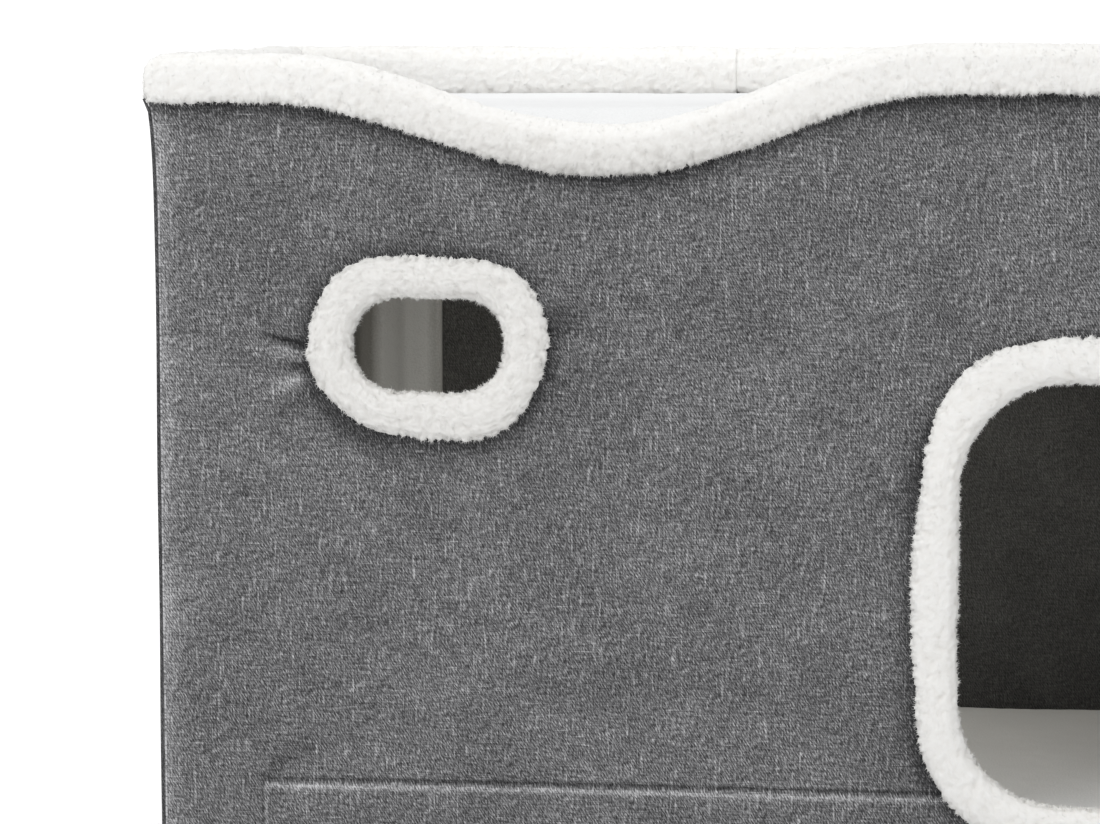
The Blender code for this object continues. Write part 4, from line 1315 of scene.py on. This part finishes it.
# %% The simulated cushion
BLOW_FRAMES, MOST_MOVE, ROUNDING = 20, 9 * MM, 13 * MM
FILLED_CLOTH = {
    "quality": 5, "mass": 0.3, "tension_stiffness": 18, "compression_stiffness": 18,
    "bending_stiffness": 0.6, "use_pressure": True, "uniform_pressure_force": 4.0,
}
SEAM_DEPTH, SEAM_WIDTH, SEAM_SWAY, SEAM_SWAY_SIZE = 1.6 * MM, 3.0 * MM, 0.5 * MM, 60 * MM
DRAWN, DRAWN_EVERY, DRAWN_REACH, DRIFT, DRIFT_SIZE = 0.5 * MM, 15 * MM, 9 * MM, 2.0, 45 * MM
LUMPS = ((0.8 * MM, 60 * MM), (0.22 * MM, 7 * MM))
CUSHION_DEPTH = 0.75


def evaluated(made):
    return made.evaluated_get(bpy.context.evaluated_depsgraph_get())


def rounded_block(name, low, high, rounding, voxel):
    """A box with round edges as an even net of small faces."""
    bpy.ops.mesh.primitive_cube_add(size=1, location=(low + high) / 2)
    block = bpy.context.object
    block.scale = high - low
    bpy.ops.object.transform_apply(location=True, rotation=True, scale=True)
    bevel = block.modifiers.new("rounding", "BEVEL")
    bevel.width, bevel.segments = rounding, 5
    net = block.modifiers.new("net", "REMESH")
    net.mode, net.voxel_size = "VOXEL", voxel
    mesh = bpy.data.meshes.new_from_object(evaluated(block))
    bpy.data.objects.remove(block)
    mesh.name = name
    return add_object(name, mesh)


def blow_up(made, cap):
    """Runs the cloth simulation with pressure and keeps its result, moved no further than the cap."""
    before = numbers_of(made.data.vertices, "co")
    cloth = made.modifiers.new("pressure", "CLOTH")
    for title, value in FILLED_CLOTH.items():
        setattr(cloth.settings, title, value)
    cloth.settings.effector_weights.gravity = 0.0
    cloth.point_cache.frame_start, cloth.point_cache.frame_end = 1, BLOW_FRAMES
    for frame_number in range(1, BLOW_FRAMES + 1):
        scene.frame_set(frame_number)
    move = numbers_of(evaluated(made).data.vertices, "co") - before
    made.modifiers.remove(cloth)
    scene.frame_set(1)
    distance = np.linalg.norm(move, axis=1)
    move_points(made, before + move * np.minimum(1, cap / np.maximum(distance, 1e-9))[:, None])
    return distance.max()


def cushion(node_name, name, start_smaller, voxel, seed):
    """A stuffed cushion in the space of its CAD solid, lying flat on what carries it."""
    low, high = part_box(node_name)
    smaller = Vector(start_smaller) * MM
    made = rounded_block(name, low + smaller, high - smaller, ROUNDING, voxel * COARSER)
    moved = blow_up(made, MOST_MOVE)
    finer = made.modifiers.new("finer", "SUBSURF")
    finer.levels = finer.render_levels = 1
    smooth = bpy.data.meshes.new_from_object(evaluated(made))
    made.modifiers.remove(finer)
    made.data = smooth

    points, normals = numbers_of(smooth.vertices, "co"), numbers_of(smooth.vertex_normals, "vector")
    x, y, z = points.T
    beside = 1 - normals[:, 2] ** 2
    from_seam = z - (low.z + high.z) / 2 + SEAM_SWAY * np.sin((x + y) / SEAM_SWAY_SIZE)
    around = np.where(np.abs(normals[:, 1]) > np.abs(normals[:, 0]), x, y)
    drawn = np.sin(2 * np.pi * around / DRAWN_EVERY + DRIFT * np.sin(around / DRIFT_SIZE + seed))
    move = -SEAM_DEPTH * bump_at(from_seam, SEAM_WIDTH) * beside
    move += DRAWN * drawn * np.exp(-np.abs(from_seam) / DRAWN_REACH) * beside
    move += sum(height * swells(points, size) for height, size in LUMPS)
    points = points + normals * move[:, None]
    points[:, 2] = np.maximum(points[:, 2], low.z)
    move_points(made, points)
    smooth.shade_smooth()
    give_value(made, "curl", CUSHION_DEPTH)
    smooth.materials.clear()
    smooth.materials.append(PLUSH)
    print(name, len(smooth.polygons), "faces, moved up to", round(moved / MM, 1), "mm")
    return made


CUSHIONS = {
    node_name: cushion(node_name, name, smaller, voxel, seed)
    for node_name, name, smaller, voxel, seed in (
        ("left_lounge_cushion", "left_lounge_plush", (4.5, 4.5, 5.8), 5 * MM, 1),
        ("right_lounge_cushion", "right_lounge_plush", (4.5, 4.5, 5.8), 5 * MM, 2),
        ("den_cushion", "den_plush", (6, 6, 4), 6 * MM, 3),
    )
}

# %% [markdown]
# ## Boards and the stiffener
# What carries the house is pressed fibreboard, and its solids already have the right shape. They only
# need a finish: brown fibres pressed flat and a few dark flecks. A small bevel breaks the hard edges.
# The stiffener is a plain milky plastic strip.

# %% Fibreboard and plastic
FLECK_EDGE, FLECK_DARK = (0.10, 0.16), 0.5
CHIP_SHARE, DUST_SHARE = 0.8, 0.3
SMOOTHEST, ROUGHER = 0.5, 0.3

tree, given, out = new_group(
    "fibreboard",
    [("Place", "Vector", None), ("Pale", "Color", (0.5, 0.36, 0.22, 1)),
     ("Brown", "Color", (0.3, 0.2, 0.12, 1))],
    [("Color", "Color"), ("Roughness", "Float"), ("Height", "Float")],
)
chips = grains(tree, given["Place"], 260.0, 4.0, 1.2)
dust = grains(tree, given["Place"], 1500.0, 2.0)
flecks = node(tree, "TexVoronoi", ("Vector", given["Place"]), ("Scale", 120.0))["Distance"]
level = maths(tree, "MULTIPLY", dust, DUST_SHARE)
level = maths(tree, "ADD", maths(tree, "MULTIPLY", chips, CHIP_SHARE), level)
level = maths(tree, "SUBTRACT", level, ranged(tree, flecks, *FLECK_EDGE, FLECK_DARK, 0.0))
feed(
    tree,
    out,
    ("Color", blend(tree, level, given["Brown"], given["Pale"])),
    ("Roughness", times_plus(tree, chips, ROUGHER, SMOOTHEST)),
    ("Height", maths(tree, "ADD", chips, dust)),
)

BOARD, tree, sockets = principled("pressed_fibreboard", Specular_IOR_Level=0.3)
browns = (("Pale", (0.56, 0.40, 0.25, 1)), ("Brown", (0.24, 0.15, 0.08, 1)))
pressed = use_group(tree, "fibreboard", ("Place", object_place(tree)), *browns)
finish(tree, sockets, pressed["Color"], pressed["Height"], 0.15 * MM, ("Roughness", pressed["Roughness"]))

PLASTIC, tree, sockets = principled("milky_plastic", Specular_IOR_Level=0.4)
mottle = grains(tree, object_place(tree), 60.0, 3.0)
tint = blend(tree, mottle, (0.70, 0.70, 0.69, 1), (0.80, 0.80, 0.79, 1))
finish(tree, sockets, tint, mottle, 0.1 * MM, ("Roughness", ranged(tree, mottle, 0.0, 1.0, 0.35, 0.55)))


def refinish(node_name, material, edge):
    """Gives a CAD node a finish, and breaks its edges."""
    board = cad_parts[node_name]
    board.data.materials.clear()
    board.data.materials.append(material)
    weld = board.modifiers.new("weld", "WELD")
    weld.merge_threshold = TINY
    bevel = board.modifiers.new("broken_edges", "BEVEL")
    bevel.width, bevel.segments, bevel.angle_limit = edge, 2, math.radians(40)


boards = [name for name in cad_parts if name.endswith(("_board", "_ledge", "_deck"))]
boards = sorted(name for name in boards if name not in CORNER_BOARDS)
for name in boards:
    refinish(name, BOARD, 0.4 * MM)
refinish("kick_strip", PLASTIC, 0.2 * MM)
print("boards:", boards)

# %% [markdown]
# ## What moves with what
# Every piece rides on the body of the solid that it stands for, so a lifted deck takes its cushion
# along.

# %% Riding and replacing
LOUNGES = {"left_lounge_cushion": "left_lounge", "right_lounge_cushion": "right_lounge"}

for pieces, slot in (
    (COVERS, "cover_fabric"),
    (LININGS, "lining"),
    (FLOORS, "lining"),
    (CORDS, "piping"),
    (STRIPS, "sherpa"),
    (CORNER_BOARDS, "plush"),
    (CUSHIONS, "plush"),
):
    for node_name, piece in pieces.items():
        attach(piece, LOUNGES.get(node_name, "house"))
        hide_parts(node_name)


SHEETS = COVERS | LININGS | FLOORS
for node_name, piece in SHEETS.items():
    size = sorted(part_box(node_name)[1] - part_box(node_name)[0])
print(len(SHEETS), "sheets and", len(CUSHIONS) + len(CORNER_BOARDS), "padded pieces")
